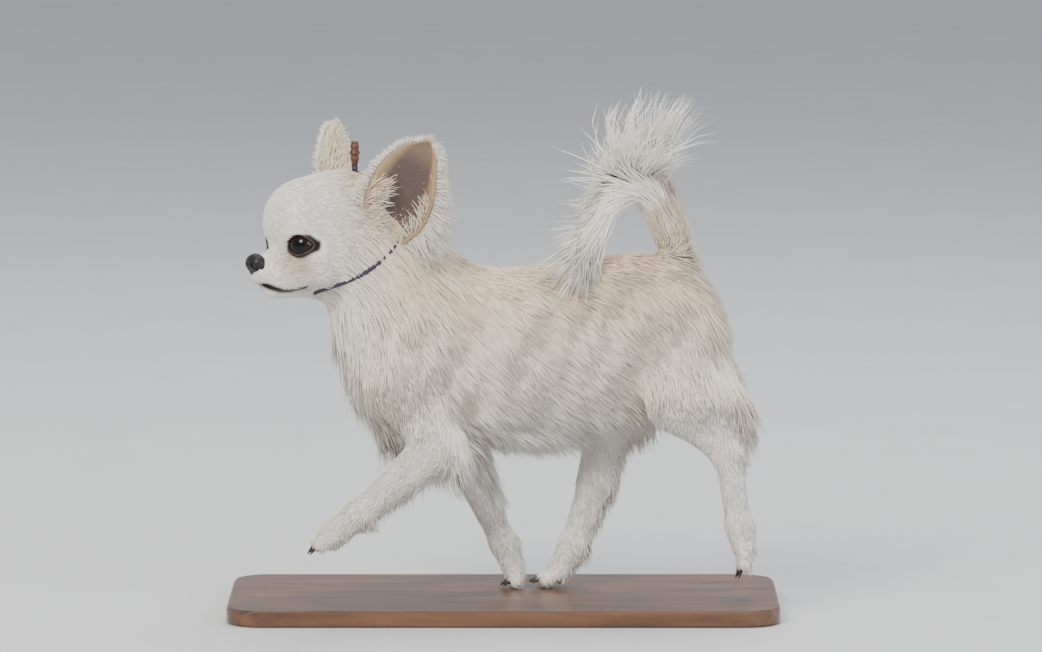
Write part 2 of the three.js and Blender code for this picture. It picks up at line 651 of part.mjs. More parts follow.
const COAT_ROWS = {
  head: Object.values(BOTH_SIDES).map((s) => ({
    ...row([0, 0, 0], [0, 0, 0], 2, [0, 0, 1], [0, 0, 1], [0, 0, 1], 26, 15),
    from: onHead(-2, 8 * s, -12),
    to: onHead(16, 8 * s, -30),
    out: alongHead(-0.25, s, -0.3).normalize(),
    lie: alongHead(-0.7, 0.35 * s, -0.6),
    fall: alongHead(-0.6, 0.1 * s, -0.8),
  })),
  neck: [
    ...onBothSides(
      (y) => row([-74, 0, 206], [-52, 0, 184], 3, [0, y, 0], [0.4, 0.3 * y, -0.85], [0.3, 0, -1], 36, 17)
    ),
    row([-84, -15, 192], [-84, 9, 192], 3, [-1, 0, -0.1], [-0.2, 0, -1], [0.15, 0, -1], 36, 16),
    row([-66, -10, 206], [-66, 8, 206], 2, [0.6, 0, 0.8], [0.9, 0, -0.2], [0.85, 0, -0.5], 36, 16),
  ],
  torso: [
    row([-64, -18, 146], [-64, 18, 146], 3, [-1, 0, 0], [-0.3, 0, -1], [0.15, 0, -1], 32, 16),
    row([-60, -17, 128], [-60, 17, 128], 3, [-1, 0, -0.3], [-0.1, 0, -1], [0.3, 0, -1], 34, 15),
    row([-50, -13, 118], [-50, 13, 118], 2, [-0.3, 0, -1], [0.1, 0, -1], [0.45, 0, -0.9], 28, 13),
    ...onBothSides(
      (y) => row([-30, 0, 176], [66, 0, 182], 3, [0, y, 0.4], [0.85, 0, -0.45], [0.8, 0, -0.6], 42, 22)
    ),
    ...onBothSides(
      (y) => row(
        [-18, 0, 142], [60, 0, 150], 4, [0, y, 0], [0.75, 0.1 * y, -0.55], [0.65, 0, -0.75], 36, 20,
      )
    ),
    ...onBothSides(
      (y) => row(
        [-30, 8 * y, 130], [66, 8 * y, 140], 5, [0, 0.7 * y, -1], [0.6, 0.2 * y, -0.8],
        [0.75, 0, -0.65], 36, 21,
      )
    ),
    row([-38, 0, 130], [74, 0, 140], 4, [0, 0, -1], [0.6, 0, -0.8], [0.75, 0, -0.65], 34, 20),
  ],
  upper_arm_left: [
    row([-58, -28, 128], [-40, -29, 98], 3, [0.9, 0, -0.3], [0.5, 0, -0.85], [0.45, 0, -0.9], 30, 15),
  ],
  upper_arm_right: [
    row([-56, 28, 128], [-30, 25, 92], 3, [0.9, 0, -0.2], [0.5, 0, -0.85], [0.45, 0, -0.9], 26, 12),
  ],
  forearm_left: [
    row(
      [-46, -28, 87], [-80, -26, 58], 4, [0.6, 0, -0.75], [0.45, 0, -0.85], [0.5, 0, -0.85], 26, 15,
      { lengthEnd: 14 },
    ),
  ],
  forearm_right: [
    row(
      [-24, 24, 78], [-5, 21, 36], 3, [0.95, 0, 0.3], [0.6, 0, -0.8], [0.3, 0, -0.95], 18, 10,
      { lengthEnd: 11 },
    ),
  ],
  thigh_left: [
    row(
      [100, -15, 168], [120, -22, 112], 4, [0.95, 0, 0.15], [0.75, 0, -0.65], [0.35, 0, -0.95], 34, 15,
      { lengthEnd: 24 },
    ),
    row([94, -16, 150], [118, -24, 108], 2, [0.45, -0.9, 0], [0.5, -0.15, -0.85], [0.35, 0, -0.95], 32, 15),
  ],
  thigh_right: [
    row(
      [96, 15, 162], [66, 24, 92], 4, [0.95, 0, 0], [0.7, 0, -0.7], [0.25, 0, -0.95], 32, 15,
      { lengthEnd: 20 },
    ),
    row([88, 16, 150], [66, 25, 104], 2, [0.45, 0.9, 0], [0.35, 0.15, -0.9], [0.15, 0, -1], 30, 15),
  ],
  shank_left: [row([136, -24, 80], [140, -24, 52], 2, [1, 0, 0.2], [0.6, 0, -0.8], [0.3, 0, -0.95], 14, 9)],
  shank_right: [row([52, 22, 56], [44, 21, 32], 2, [0.9, 0, -0.4], [0.4, 0, -0.9], [0.1, 0, -1], 14, 9)],
  tail_root: [
    row([101, 0, 200], [99, 0, 220], 2, [1, 0, 0], [0.35, 0, 0.95], [0.15, 0, 1], 30, 16),
    ...onBothSides(
      (y) => row(
        [101, 0, 202], [99, 0, 218], 2, [0.1, y, 0], [0.1, 0.3 * y, 0.95], [0.1, 0.1 * y, 1], 28, 16,
      )
    ),
    row([100, 0, 206], [99, 0, 220], 2, [-1, 0, 0], [-0.35, 0, 0.95], [-0.2, 0, 0.95], 24, 15),
  ],
  tail_arch: [
    ...onBothSides(
      (y) => row(
        [98, 3 * y, 228], [76, 3 * y, 244], 3, [0.3, 0.4 * y, 0.9], [0.25, 0.35 * y, 1], [0.3, 0, 1],
        62, 16, finish([-0.3, 0.4 * y, 0.9], [-0.2, 0.35 * y, 1], [0.25, 0, 1], 52),
      )
    ),
    row(
      [98, 0, 230], [78, 0, 244], 3, [0.4, 0, 0.9], [0.35, 0, 1], [0.45, 0, 1], 58, 17,
      finish([-0.35, 0, 0.9], [-0.25, 0, 1], [0.15, 0, 1], 50),
    ),
    row([98, 0, 228], [92, 0, 236], 2, [1, 0, 0.1], [0.5, 0, 0.9], [0.1, 0, 1], 44, 16),
  ],
  tail_end: [
    row(
      [72, -5, 243], [58, -14, 224], 3, [-0.8, 0, 0.5], [-0.75, -0.15, -0.5], [-0.55, -0.1, -0.85], 46,
      16,
    ),
    row(
      [72, -6, 243], [56, -15, 220], 3, [-0.3, -0.9, 0.2], [-0.55, -0.4, -0.75], [-0.6, -0.1, -0.8], 42,
      16,
    ),
    row([70, -4, 240], [58, -12, 224], 2, [-0.2, 0.9, 0], [-0.55, 0.35, -0.75], [-0.5, 0, -0.85], 38, 15),
    row([60, -14, 224], [54, -16, 218], 1, [0.3, 0, -1], [-0.3, 0, -1], [-0.75, 0, -0.6], 34, 15),
  ],
};

// Joins a node's core and its rows of locks into one body
function coated(name, field, core, grow) {
  const locks = (COAT_ROWS[name] ?? []).flatMap(
    (one, i) => rowOfLocks(one, field, 17 * i + name.length, grow)
  );
  return locks.length > 0 ? wasm.Manifold.union([core, ...locks]) : core;
}

// An overlap smaller than this, in cubic millimetres, is only rounding
const TOUCH = 0.002;

// Every node of the dog, each kept clear of those before it
const COAT = { color: 0xe6d9c4, roughness: 0.95, metalness: 0 };
const DARK = { color: 0x17120f, roughness: 0.35, metalness: 0 };
const WEBBING = { color: 0x2c2030, roughness: 0.8, metalness: 0 };
const AMBER = { color: 0x5a3a22, roughness: 0.4, metalness: 0 };

const nodes = [
  { name: "collar", looks: WEBBING, build: collar },
  { name: "collar_slide", looks: AMBER, build: slide },
  { name: "nose", looks: DARK, build: nose },
  ...Object.entries(BOTH_SIDES).flatMap(([side, s]) => [
    { name: `eye_${side}`, looks: DARK, build: (grow) => eye(s, grow) },
    { name: `ear_${side}`, looks: COAT, build: (grow) => fringedEar(s, grow) },
  ]),
  { name: "head", looks: COAT, build: (grow) => coated("head", headField, head(grow), grow) },
  ...Object.entries(TAIL_LENGTHS).map(([name, { limbs }]) => ({
    name,
    looks: COAT,
    build: (grow) => coated(name, fieldOf(limbs), tailLength(name, grow), grow),
  })),
  { name: "neck", looks: COAT, build: (grow) => coated("neck", trunkField, neck(grow), grow) },
  ...Object.values(LEGS).flatMap((leg) => {
    const [upperName, lowerName, pawName] = leg.names;
    const spine = THIGH_SPINES[upperName] ?? [leg.upper[0].a, leg.upper[0].b, leg.upper[1].b];
    const lastUpper = { a: leg.upper[leg.upper.length - 2].a, b: leg.lower[0].a };
    const high = jointPlane(lastUpper, leg.lower[0]);
    const low = jointPlane(leg.lower[0], leg.paw[0]);
    const lowerCore = (grow) =>
      trim(
        trim(legLength(leg.lower, [leg.lower[0].a, leg.lower[0].b], grow), high, 1, grow), low, -1,
        grow,
      );
    const upperCore = (grow) => trim(legLength(leg.upper, spine, grow), high, -1, grow);
    return [
      { name: pawName, looks: COAT, build: (grow) => trim(trim(paw(leg, grow), low, 1, grow), FLOOR, 1) },
      {
        name: lowerName, looks: COAT,
        build: (grow) => coated(lowerName, fieldOf(leg.lower), lowerCore(grow), grow),
      },
      {
        name: upperName, looks: COAT,
        build: (grow) => coated(upperName, fieldOf(leg.upper), upperCore(grow), grow),
      },
    ];
  }),
  { name: "torso", looks: COAT, build: (grow) => coated("torso", trunkField, torso(grow), grow) },
];

// What stands on the base ends a gap above it
const FLOOR = { at: point(0, 0, GAP / 2), direction: UP };

// The largest closed surface of a solid, as bare corners and triangles, with no record of what cut it
function largest(solid) {
  const parts = solid.decompose();
  const best = parts.reduce((most, next) => (next.volume() > most.volume() ? next : most), parts[0]);
  const { vertProperties, triVerts } = best.getMesh();
  return solidFrom(vertProperties, triVerts);
}

function meshOf(name, solid, looks) {
  const { numProp, vertProperties, triVerts } = solid.getMesh();
  if (numProp !== 3) throw new Error(`${name} carries more than positions`);
  const geometry = new THREE.BufferGeometry();
  geometry.setAttribute("position", new THREE.BufferAttribute(vertProperties, 3));
  geometry.setIndex(new THREE.BufferAttribute(triVerts, 1));
  geometry.computeVertexNormals();
  const mesh = new THREE.Mesh(geometry, new THREE.MeshStandardMaterial(looks));
  mesh.name = name;
  return mesh;
}

const dog = new THREE.Group();
dog.position.z = BASE_THICK;
const placed = [];
for (const { name, looks, build } of nodes) {
  let whole = build(0);
  for (const { solid, grown } of placed) {
    whole = whole.subtract(grown);
    if (whole.intersect(solid).volume() > TOUCH) whole = whole.subtract(solid);
  }
  const solid = largest(whole);
  dog.add(meshOf(name, solid, looks));
  placed.push({ solid, grown: build(GAP) });
}

const part = new THREE.Group();
const stand = meshOf("stand_base", base(), { color: 0x3b2a20, roughness: 0.5, metalness: 0 });
stand.position.z = BASE_THICK;
part.add(stand, dog);
export default part;
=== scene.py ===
"""A long-coated chihuahua at a trot, life size, as a still model on a plain wooden base."""

import bpy
import numpy as np
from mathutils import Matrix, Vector


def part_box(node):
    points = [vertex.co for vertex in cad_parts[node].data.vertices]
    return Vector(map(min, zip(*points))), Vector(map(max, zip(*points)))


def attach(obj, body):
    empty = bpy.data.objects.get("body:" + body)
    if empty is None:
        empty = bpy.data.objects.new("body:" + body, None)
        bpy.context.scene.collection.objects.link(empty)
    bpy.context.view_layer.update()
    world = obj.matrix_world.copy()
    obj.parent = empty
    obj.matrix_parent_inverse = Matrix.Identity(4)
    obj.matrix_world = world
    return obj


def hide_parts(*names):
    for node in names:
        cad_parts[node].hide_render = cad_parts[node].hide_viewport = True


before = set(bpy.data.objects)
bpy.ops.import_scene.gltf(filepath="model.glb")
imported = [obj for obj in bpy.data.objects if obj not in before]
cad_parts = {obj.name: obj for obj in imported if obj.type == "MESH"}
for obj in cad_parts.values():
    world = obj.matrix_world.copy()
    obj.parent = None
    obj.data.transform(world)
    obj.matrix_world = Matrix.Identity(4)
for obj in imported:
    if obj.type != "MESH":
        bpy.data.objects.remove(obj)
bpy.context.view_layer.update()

bl_info = {
    "name": "Chihuahua model",
    "version": (1, 0, 0),
    "blender": (4, 5, 0),
    "location": "View3D > Sidebar > Chihuahua",
    "description": "Builds a life-size long-coated chihuahua with its collar on a wooden base",
    "category": "Add Mesh",
}

MM = 0.001
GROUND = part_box("stand_base")[1][2] / MM
SEED = 11


def vec(*numbers):
    """A place or a way in millimetres."""
    return np.array(numbers, dtype=float)


def unit(v):
    """Vectors scaled to length one."""
    return v / np.maximum(np.linalg.norm(v, axis=-1, keepdims=True), 1e-9)


def ramp(x, low, high):
    """A smooth step: 0 below low, 1 above high, with the cubic 3t^2 - 2t^3 between."""
    t = np.clip((x - low) / (high - low), 0, 1)
    return t * t * (3 - 2 * t)


# The head's own axes: forward, left and up, turned 27 degrees to the dog's left
HEAD_TURN = np.radians(27)
HEAD_CENTRE = vec(-100, -6, 226)
FORWARD = vec(-np.cos(HEAD_TURN), -np.sin(HEAD_TURN), 0)
LEFT = vec(np.sin(HEAD_TURN), -np.cos(HEAD_TURN), 0)
UP = vec(0, 0, 1)
SIDEWAYS = vec(0, 1, 0)
SIDES = {"left": 1, "right": -1}
HEAD_AXES = np.array([FORWARD, LEFT, UP])


def along_head(forward, left, up):
    """A way that is given in the head's own axes."""
    return np.asarray([forward, left, up], float) @ HEAD_AXES


def on_head(forward, left, up):
    """A place that is given in the head's own axes, from the skull's centre."""
    return HEAD_CENTRE + along_head(forward, left, up)


def to_head(p):
    """Places in the head's frame: forward, left and up from the skull's centre."""
    return (p - HEAD_CENTRE) @ HEAD_AXES.T


# The flesh: rounded cones (a, b, radius a, radius b, width over depth, blend, coat depth) by group.
# Radii are those of the coat's surface, and the coat depth is taken off them for the skin.
def head_limbs():
    limbs = [
        ((-4, 0, 0), (0, 0, 0), 32, 32, 0.95, 8, 2.2),
        ((20, 0, 1), (21, 0, 1), 26, 26, 0.98, 8, 1.4),
        ((26, 0, -25), (47, 0, -27), 14.5, 10.2, 1.02, 8, 0.8),
        ((14, 0, -34), (43, 0, -38.5), 12, 6.6, 1.1, 5, 0.8),
    ]
    for s in (1, -1):
        limbs += [
            ((6, 15 * s, -20), (12, 13 * s, -22), 18, 16, 1, 8, 2),
            ((26, 12 * s, -2), (29, 12.5 * s, -3), 11, 9.6, 1, 8, 0.8),
            ((20, 13 * s, -23), (36, 7 * s, -30), 14, 9, 1, 8, 0.8),
            ((42, 5.2 * s, -31), (49, 3.6 * s, -30), 6.6, 6.2, 1, 3, 0.6),
        ]
    return [(on_head(*a), on_head(*b), *rest) for a, b, *rest in limbs]


# The tail's bone, from the croup over the loop to its end
TAIL_LINE = np.array(
    [(103, 0, 188), (99, 0, 222), (89, 0, 242), (74, -4, 246), (62, -10, 233), (54, -17, 217)],
    float,
)
TAIL_RADII = [9, 6, 5.5, 5, 4.5, 4]
# Each paw: its root, its toes' ends, how far apart they are and the way its claws point
PAWS = {
    "fore_left": ((-104, -26, 37), (-111, -26, 33.5), 4.4, (-0.75, 0, -0.66)),
    "fore_right": ((6, 19, 10), (6, 19, 4.9), 4.2, (-0.8, 0, -0.25)),
    "hind_left": ((144, -24, 31), (143, -24, 21), 4.2, (-0.45, 0, -0.9)),
    "hind_right": ((33, 20, 9), (24, 20, 5.2), 4.4, (-0.93, 0, -0.1)),
}
TOE_PLACES = (-1.5, -0.5, 0.5, 1.5)


def toe_limbs(paw):
    """The four toes of a paw, spread across it, the outer two set back."""
    root, end, spread, _ = PAWS[paw]
    limbs = []
    for place in TOE_PLACES:
        back = 1.5 if abs(place) > 1 else 0
        a = vec(*root) + vec(0, place * spread * 0.75, 0)
        b = vec(*end) + vec(back, place * spread, 0)
        limbs.append((a, b, 4.7, 4.3, 0.86, 1.6, 0.7))
    return limbs


FLESH = {
    "trunk": [
        ((-66, 0, 140), (-52, 0, 112), 25, 24, 0.95, 16, 5),
        ((-35, 0, 147), (10, 0, 146), 53, 50, 0.7, 16, 4),
        ((10, 0, 146), (48, 0, 152), 50, 47.5, 0.72, 16, 4),
        ((48, 0, 152), (82, 0, 163), 47.5, 42, 0.74, 16, 4),
        ((82, 0, 163), (92, 0, 164), 42, 37, 0.8, 16, 4),
    ],
    "neck": [
        ((-44, 0, 158), (-78, -4, 214), 44, 34, 0.82, 18, 5),
        ((-84, -3, 190), (-66, 0, 140), 29, 29, 0.95, 18, 5),
    ],
    "head": head_limbs(),
    "fore_left": [
        ((-50, -22, 160), (-60, -26, 130), 22, 21, 0.62, 12, 3),
        ((-60, -26, 130), (-38, -28, 93), 21, 15, 0.66, 12, 3),
        ((-38, -28, 93), (-86, -26, 52), 15, 8.6, 0.8, 10, 2),
        ((-86, -26, 52), (-104, -26, 38), 8.6, 8.4, 0.95, 6, 1),
        *toe_limbs("fore_left"),
    ],
    "fore_right": [
        ((-50, 22, 160), (-58, 26, 130), 22, 21, 0.62, 12, 3),
        ((-58, 26, 130), (-26, 24, 85), 21, 14, 0.66, 12, 3),
        ((-26, 24, 85), (0, 20, 27), 14, 8.4, 0.8, 10, 2),
        ((0, 20, 27), (6, 19, 11), 8.4, 7.6, 0.95, 6, 1),
        *toe_limbs("fore_right"),
    ],
    "hind_left": [
        ((98, -15, 163), (104, -28, 120), 28, 19, 0.6, 14, 3),
        ((106, -15, 158), (128, -24, 120), 25, 19, 0.62, 14, 4),
        ((104, -28, 118), (133, -24, 88), 17, 9.5, 0.7, 10, 2.5),
        ((128, -24, 118), (134, -24, 90), 16, 9.5, 0.66, 10, 3.5),
        ((134, -24, 88), (141, -24, 44), 9.2, 8, 0.85, 6, 1.6),
        ((141, -24, 44), (144, -24, 32), 8, 8.2, 0.95, 6, 1),
        *toe_limbs("hind_left"),
    ],
    "hind_right": [
        ((96, 15, 163), (64, 26, 108), 30, 20, 0.6, 14, 3),
        ((64, 26, 108), (57, 23, 66), 20, 12, 0.7, 10, 2.5),
        ((57, 23, 66), (42, 20.5, 25), 12, 9, 0.8, 8, 1.6),
        ((42, 20.5, 25), (33, 20, 10), 9, 8.2, 0.95, 6, 1),
        *toe_limbs("hind_right"),
    ],
    "tail": [
        (a, b, ra, rb, 0.9, 6, 0)
        for a, b, ra, rb in zip(TAIL_LINE, TAIL_LINE[1:], TAIL_RADII, TAIL_RADII[1:])
    ],
}
# Over how many millimetres a group blends into the ones before it
JOIN_BLEND = {"trunk": 16, "neck": 18, "head": 12, "tail": 8}
LEG_BLEND = 12
GROUPS = list(FLESH)


def on_span(p, a, b):
    """For points, the share along the span from a to b that is nearest, and the offset from there."""
    axis = b - a
    t = np.clip((p - a) @ axis / max(axis @ axis, 1e-6), 0, 1)
    return t, p - a - t[..., None] * axis


def limb_distance(p, limb, side, depth_share=1.0):
    """Distance to a rounded cone whose lateral half-width is its radius times wide: the offset from the
    axis is squeezed sideways, and its length less the radius is divided by the squeeze's own slope."""
    a, b, ra, rb, wide, _, depth = limb
    t, offset = on_span(p, np.asarray(a, float), np.asarray(b, float))
    radius = ra + t * (rb - ra) - depth * depth_share
    across = offset @ side
    deep2 = np.maximum((offset * offset).sum(-1) - across**2, 0)
    narrow2 = (across / wide) ** 2
    reach = np.sqrt(deep2 + narrow2) + 1e-9
    steep = np.sqrt(deep2 + narrow2 / wide**2) + 1e-9
    return (reach - radius) * reach / steep


def smooth_min(a, b, blend):
    """The lesser of two distances, rounded by a quarter of blend where they are equal."""
    h = np.maximum(blend - np.abs(a - b), 0) / blend
    return np.minimum(a, b) - h * h * blend * 0.25


def group_distance(p, group, depth_share=1.0):
    """Distance to one group of flesh, its cones blended one after another."""
    side = LEFT if group == "head" else SIDEWAYS
    limbs = FLESH[group]
    d = limb_distance(p, limbs[0], side, depth_share)
    for limb in limbs[1:]:
        d = smooth_min(d, limb_distance(p, limb, side, depth_share), limb[5])
    return d


# The part of the head that holds eyes and mouth
FACE_CENTRE = on_head(38, 0, -26)
FACE_REACH = 45
# The eyeball, its cornea's bulge, and how far that reaches as an angle from the gaze
EYE_RADIUS = 9.4
EYE_SUNK = 0.15
CORNEA_BULGE = 0.55
CORNEA_ANGLE = 0.62
EYE_TURN = np.radians(36)
EYES = {name: on_head(28.5, 16.5 * s, -12) for name, s in SIDES.items()}
# The lips' line in the head's frame, from the corner to the nose, and its groove
MOUTH = np.array(
    [
        (27, 14.5, -38),
        (33, 13, -40),
        (40, 10.5, -40),
        (46.5, 6.5, -37.5),
        (51, 2.4, -34.5),
        (53, 0, -31),
        (54.5, 0, -28),
    ]
)
MOUTH_SQUEEZE = vec(1, 0.35, 1)
GROOVE_DEEP = 1.3
GROOVE_WIDE = 0.9
LIPS_WIDE = 1.9
# The lids' opening, as shares of the eyeball's radius, and the roll round it
LID_THICK = 0.9
LID_BLEND = 3
LID_WIDE = 0.84
LID_UPPER = 0.6
LID_LOWER = 0.52
LID_PINCH = 0.3
LID_RINGS = 96
LID_SIDES = 12
ROLL_WIDE = 1.1
ROLL_HIGH = 0.75


def gaze(s):
    """The way an eye looks, and the ways along and up its opening."""
    forward = unit(along_head(np.cos(EYE_TURN), s * np.sin(EYE_TURN), 0.08))
    along = unit(np.cross(UP, forward))
    return forward, along, np.cross(forward, along)


def eye_opening(p, side, s):
    """Distance outside the cone that the lids leave open: from the eyeball's centre, an almond whose
    half-height falls off towards both corners."""
    forward, along, high = gaze(s)
    q = p - EYES[side]
    r = np.linalg.norm(q, axis=-1) + 1e-9
    a, b = q @ along / r / LID_WIDE, q @ high / r
    tall = np.where(b > 0, LID_UPPER, LID_LOWER)
    tall = tall * np.clip(1 - LID_PINCH * a * a, 0.6, 1)
    cone = (np.sqrt(a * a + (b / tall) ** 2) - 1) * EYE_RADIUS * 0.6
    return np.maximum(cone, -(q @ forward))


def line_distance(p, places):
    """Least distance from points to a line through places."""
    best = np.full(p.shape[:-1], 1e3)
    for a, b in zip(places, places[1:]):
        best = np.minimum(best, np.linalg.norm(on_span(p, a, b)[1], axis=-1))
    return best


def mouth_distance(p):
    """Distance to the line of the lips, which is the same on both sides of the head. Sideways it is
    squeezed, so that the line follows the cheeks wherever they bulge."""
    h = to_head(p)
    h = np.stack([h[..., 0], np.abs(h[..., 1]), h[..., 2]], -1)
    return line_distance(h * MOUTH_SQUEEZE, MOUTH * MOUTH_SQUEEZE)


def body(p, depth_share=1.0):
    """The whole flesh as one blended distance, with sockets for the eyes and the mouth's groove."""
    d = group_distance(p, GROUPS[0], depth_share)
    for group in GROUPS[1:]:
        d = smooth_min(d, group_distance(p, group, depth_share), JOIN_BLEND.get(group, LEG_BLEND))
    near = np.linalg.norm(p - FACE_CENTRE, axis=-1) < FACE_REACH
    if near.any():
        q = p[near]
        part = d[near] + GROOVE_DEEP * np.exp(-((mouth_distance(q) / GROOVE_WIDE) ** 2))
        for side, s in SIDES.items():
            lid = np.linalg.norm(q - EYES[side], axis=-1) - EYE_RADIUS - LID_THICK
            part = smooth_min(part, lid, LID_BLEND)
            part = np.maximum(part, -eye_opening(q, side, s))
        d = d.copy()
        d[near] = part
    return d


def slope(p, field, step=0.4):
    """The field's gradient by central differences, scaled to length one."""
    parts = [field(p + step * axis) - field(p - step * axis) for axis in np.eye(3)]
    return unit(np.stack(parts, -1))


def surface_net(field, axes):
    """A closed surface where the field is zero: one corner for each grid cell that the surface crosses,
    at the mean of its edges' crossings, and one four-sided face for each grid edge that it crosses."""
    xs, ys, zs = axes
    shape = (len(xs), len(ys), len(zs))
    values = np.full(shape, 9.0, np.float32)
    block = 24
    for i in range(0, shape[0], block):
        grid = np.stack(np.meshgrid(xs[i : i + block], ys, zs, indexing="ij"), -1)
        values[i : i + block] = field(grid)
    inside = values < 0
    corners = sum(
        inside[i : shape[0] - 1 + i, j : shape[1] - 1 + j, k : shape[2] - 1 + k].astype(np.int8)
        for i, j, k in np.ndindex(2, 2, 2)
    )
    cells = np.argwhere((corners > 0) & (corners < 8))
    index = np.full(tuple(n - 1 for n in shape), -1, np.int32)
    index[tuple(cells.T)] = np.arange(len(cells))
    total = np.zeros((len(cells), 3))
    count = np.zeros(len(cells))
    for axis in range(3):
        others = [a for a in range(3) if a != axis]
        for offsets in np.ndindex(2, 2):
            low = cells.copy()
            low[:, others] += offsets
            high = low.copy()
            high[:, axis] += 1
            f0, f1 = values[tuple(low.T)], values[tuple(high.T)]
            hit = (f0 < 0) != (f1 < 0)
            t = np.where(hit, f0 / np.where(hit, f0 - f1, 1), 0)
            a, b = (np.stack([axes[k][ends[:, k]] for k in range(3)], -1) for ends in (low, high))
            total += np.where(hit[:, None], a + t[:, None] * (b - a), 0)
            count += hit
    faces = []
    for axis in range(3):
        start, stop = np.swapaxes(inside, 0, axis)[:-1], np.swapaxes(inside, 0, axis)[1:]
        start, stop = np.swapaxes(start, 0, axis), np.swapaxes(stop, 0, axis)
        for leaving in (True, False):
            edges = np.argwhere((start & ~stop) if leaving else (~start & stop))
            quad = []
            for shift in ((0, 0), (-1, 0), (-1, -1), (0, -1)):
                cell = edges.copy()
                cell[:, [(axis + 1) % 3, (axis + 2) % 3]] += shift
                quad.append(index[tuple(cell.T)])
            faces.append(np.stack(quad[::-1] if leaving else quad, -1))
    return total / count[:, None], np.concatenate(faces)[:, ::-1]


def mesh_piece(name, points, faces, material, nodes=(), colours=None):
    """A mesh in millimetres above the base's top, put into the frame in metres, riding on the body."""
    mesh = bpy.data.meshes.new(name)
    placed = (points + vec(0, 0, GROUND)) * MM
    faces = np.asarray(faces)
    sides = faces.shape[1]
    mesh.vertices.add(len(placed))
    mesh.vertices.foreach_set("co", placed.ravel())
    mesh.loops.add(faces.size)
    mesh.loops.foreach_set("vertex_index", faces.ravel().astype(np.int32))
    mesh.polygons.add(len(faces))
    mesh.polygons.foreach_set("loop_start", np.arange(0, faces.size, sides, dtype=np.int32))
    mesh.polygons.foreach_set("loop_total", np.full(len(faces), sides, dtype=np.int32))
    mesh.polygons.foreach_set("use_smooth", np.full(len(faces), True))
    if colours is not None:
        layer = mesh.color_attributes.new("Marking", "FLOAT_COLOR", "POINT")
        layer.data.foreach_set("color", np.hstack([colours, np.ones((len(colours), 1))]).ravel())
    mesh.update()
    mesh.validate()
    mesh.materials.append(material)
    piece = bpy.data.objects.new(name, mesh)
    bpy.context.scene.collection.objects.link(piece)
    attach(piece, "root")
    if nodes:
        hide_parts(*nodes)
    return piece


def colour(hex_value):
    """An sRGB hex value as linear red, green and blue: v / 12.92 below 0.04045, and the power 2.4 above."""
    c = np.array([int(hex_value[i : i + 2], 16) for i in (1, 3, 5)]) / 255
    return np.where(c <= 0.04045, c / 12.92, ((c + 0.055) / 1.055) ** 2.4)


def mix(shade, tone, amount):
    """Shades with an amount from 0 to 1 of a tone in them."""
    return shade * (1 - amount) + tone * amount


def sway(p, size, seed):
    """Smooth noise in three parts from sums of sines at turned angles, size in millimetres from peak to
    peak, each part between about -1 and 1."""
    random = np.random.default_rng(seed)
    waves = unit(random.normal(size=(9, 3))) * (2 * np.pi / size) * random.uniform(0.7, 1.5, (9, 1))
    phase = random.uniform(0, 2 * np.pi, 9)
    s = np.sin(p @ waves.T + phase)
    return np.stack([s[..., i::3].sum(-1) for i in range(3)], -1) / 1.7


# Coat colours, as dry hair in even light
CREAM = colour("#F0E6D4")
TAN = colour("#DCC19A")
WHITE = colour("#F7F3EC")
EAR_DARK = colour("#6A5B56")
EAR_TAN = colour("#C2A27C")
LIP_DARK = colour("#2A1E1A")
TEAR_TAN = colour("#BFA27C")


def group_weights(p):
    """How much each group of flesh owns each point: a soft choice of the nearest, over 5 mm."""
    d = np.stack([group_distance(p, g, 0.0) for g in GROUPS], -1)
    w = np.exp(-(d - d.min(-1, keepdims=True)) / 5)
    return w / w.sum(-1, keepdims=True)


def markings(p, weights):
    """The coat's colour at each point: tan over the back, ears' bases and nape, cream on the sides,
    white on the face, chest, belly, legs and plume, with tan tear marks and dark lips."""
    w = {g: weights[:, i] for i, g in enumerate(GROUPS)}
    z = p[:, 2] + 3 * sway(p, 45, 3)[:, 0]
    body_part = w["trunk"] + w["neck"] + 0.6 * (w["hind_left"] + w["hind_right"])
    back = body_part * ramp(z, 150, 205) * ramp(p[:, 0], -95, -50)
    light = np.clip(ramp(-z, -135, -95) + ramp(-p[:, 0], 70, 100) * (w["neck"] + w["trunk"]), 0, 1)
    h = to_head(p)
    crown = w["head"] * ramp(-h[:, 0], -16, 14) * ramp(h[:, 2], -22, 8)
    tail_s = tail_place(p)
    patch = w["tail"] * ramp(-tail_s, -0.34, -0.1) * ramp(p[:, 2], 196, 206)
    legs = w["fore_left"] + w["fore_right"] + w["hind_left"] + w["hind_right"]
    below_eye = along_head(6, 0, -9)
    near_eye = np.minimum(*[np.linalg.norm(p - (e + below_eye), axis=1) for e in EYES.values()])
    layers = [
        (TAN, 0.62 * back + 0.55 * crown),
        (WHITE, np.clip(light * body_part + legs * ramp(-p[:, 2], -130, -90), 0, 0.85)),
        (WHITE, 0.85 * w["head"] * ramp(h[:, 0], -6, 22)),
        (WHITE, 0.8 * w["tail"]),
        (EAR_TAN, 0.75 * patch),
        (TEAR_TAN, 0.6 * w["head"] * ramp(-near_eye, -16, -5)),
        (LIP_DARK, np.exp(-((mouth_distance(p) / LIPS_WIDE) ** 4))),
    ]
    opening = ramp(-np.minimum(*[eye_opening(p, k, v) for k, v in SIDES.items()]), -3.4, -1.6)
    for centre in EYES.values():
        rim = ramp(-np.linalg.norm(p - centre, axis=1), -EYE_RADIUS - 2.2, -EYE_RADIUS - 1.1)
        layers.append((LIP_DARK, rim * opening))
    shade = CREAM + np.zeros((len(p), 3))
    for tone, amount in layers:
        shade = mix(shade, tone, np.clip(amount, 0, 1)[:, None])
    return np.clip(shade * (1 + 0.03 * sway(p, 9, 8)[:, :1]), 0, 1)


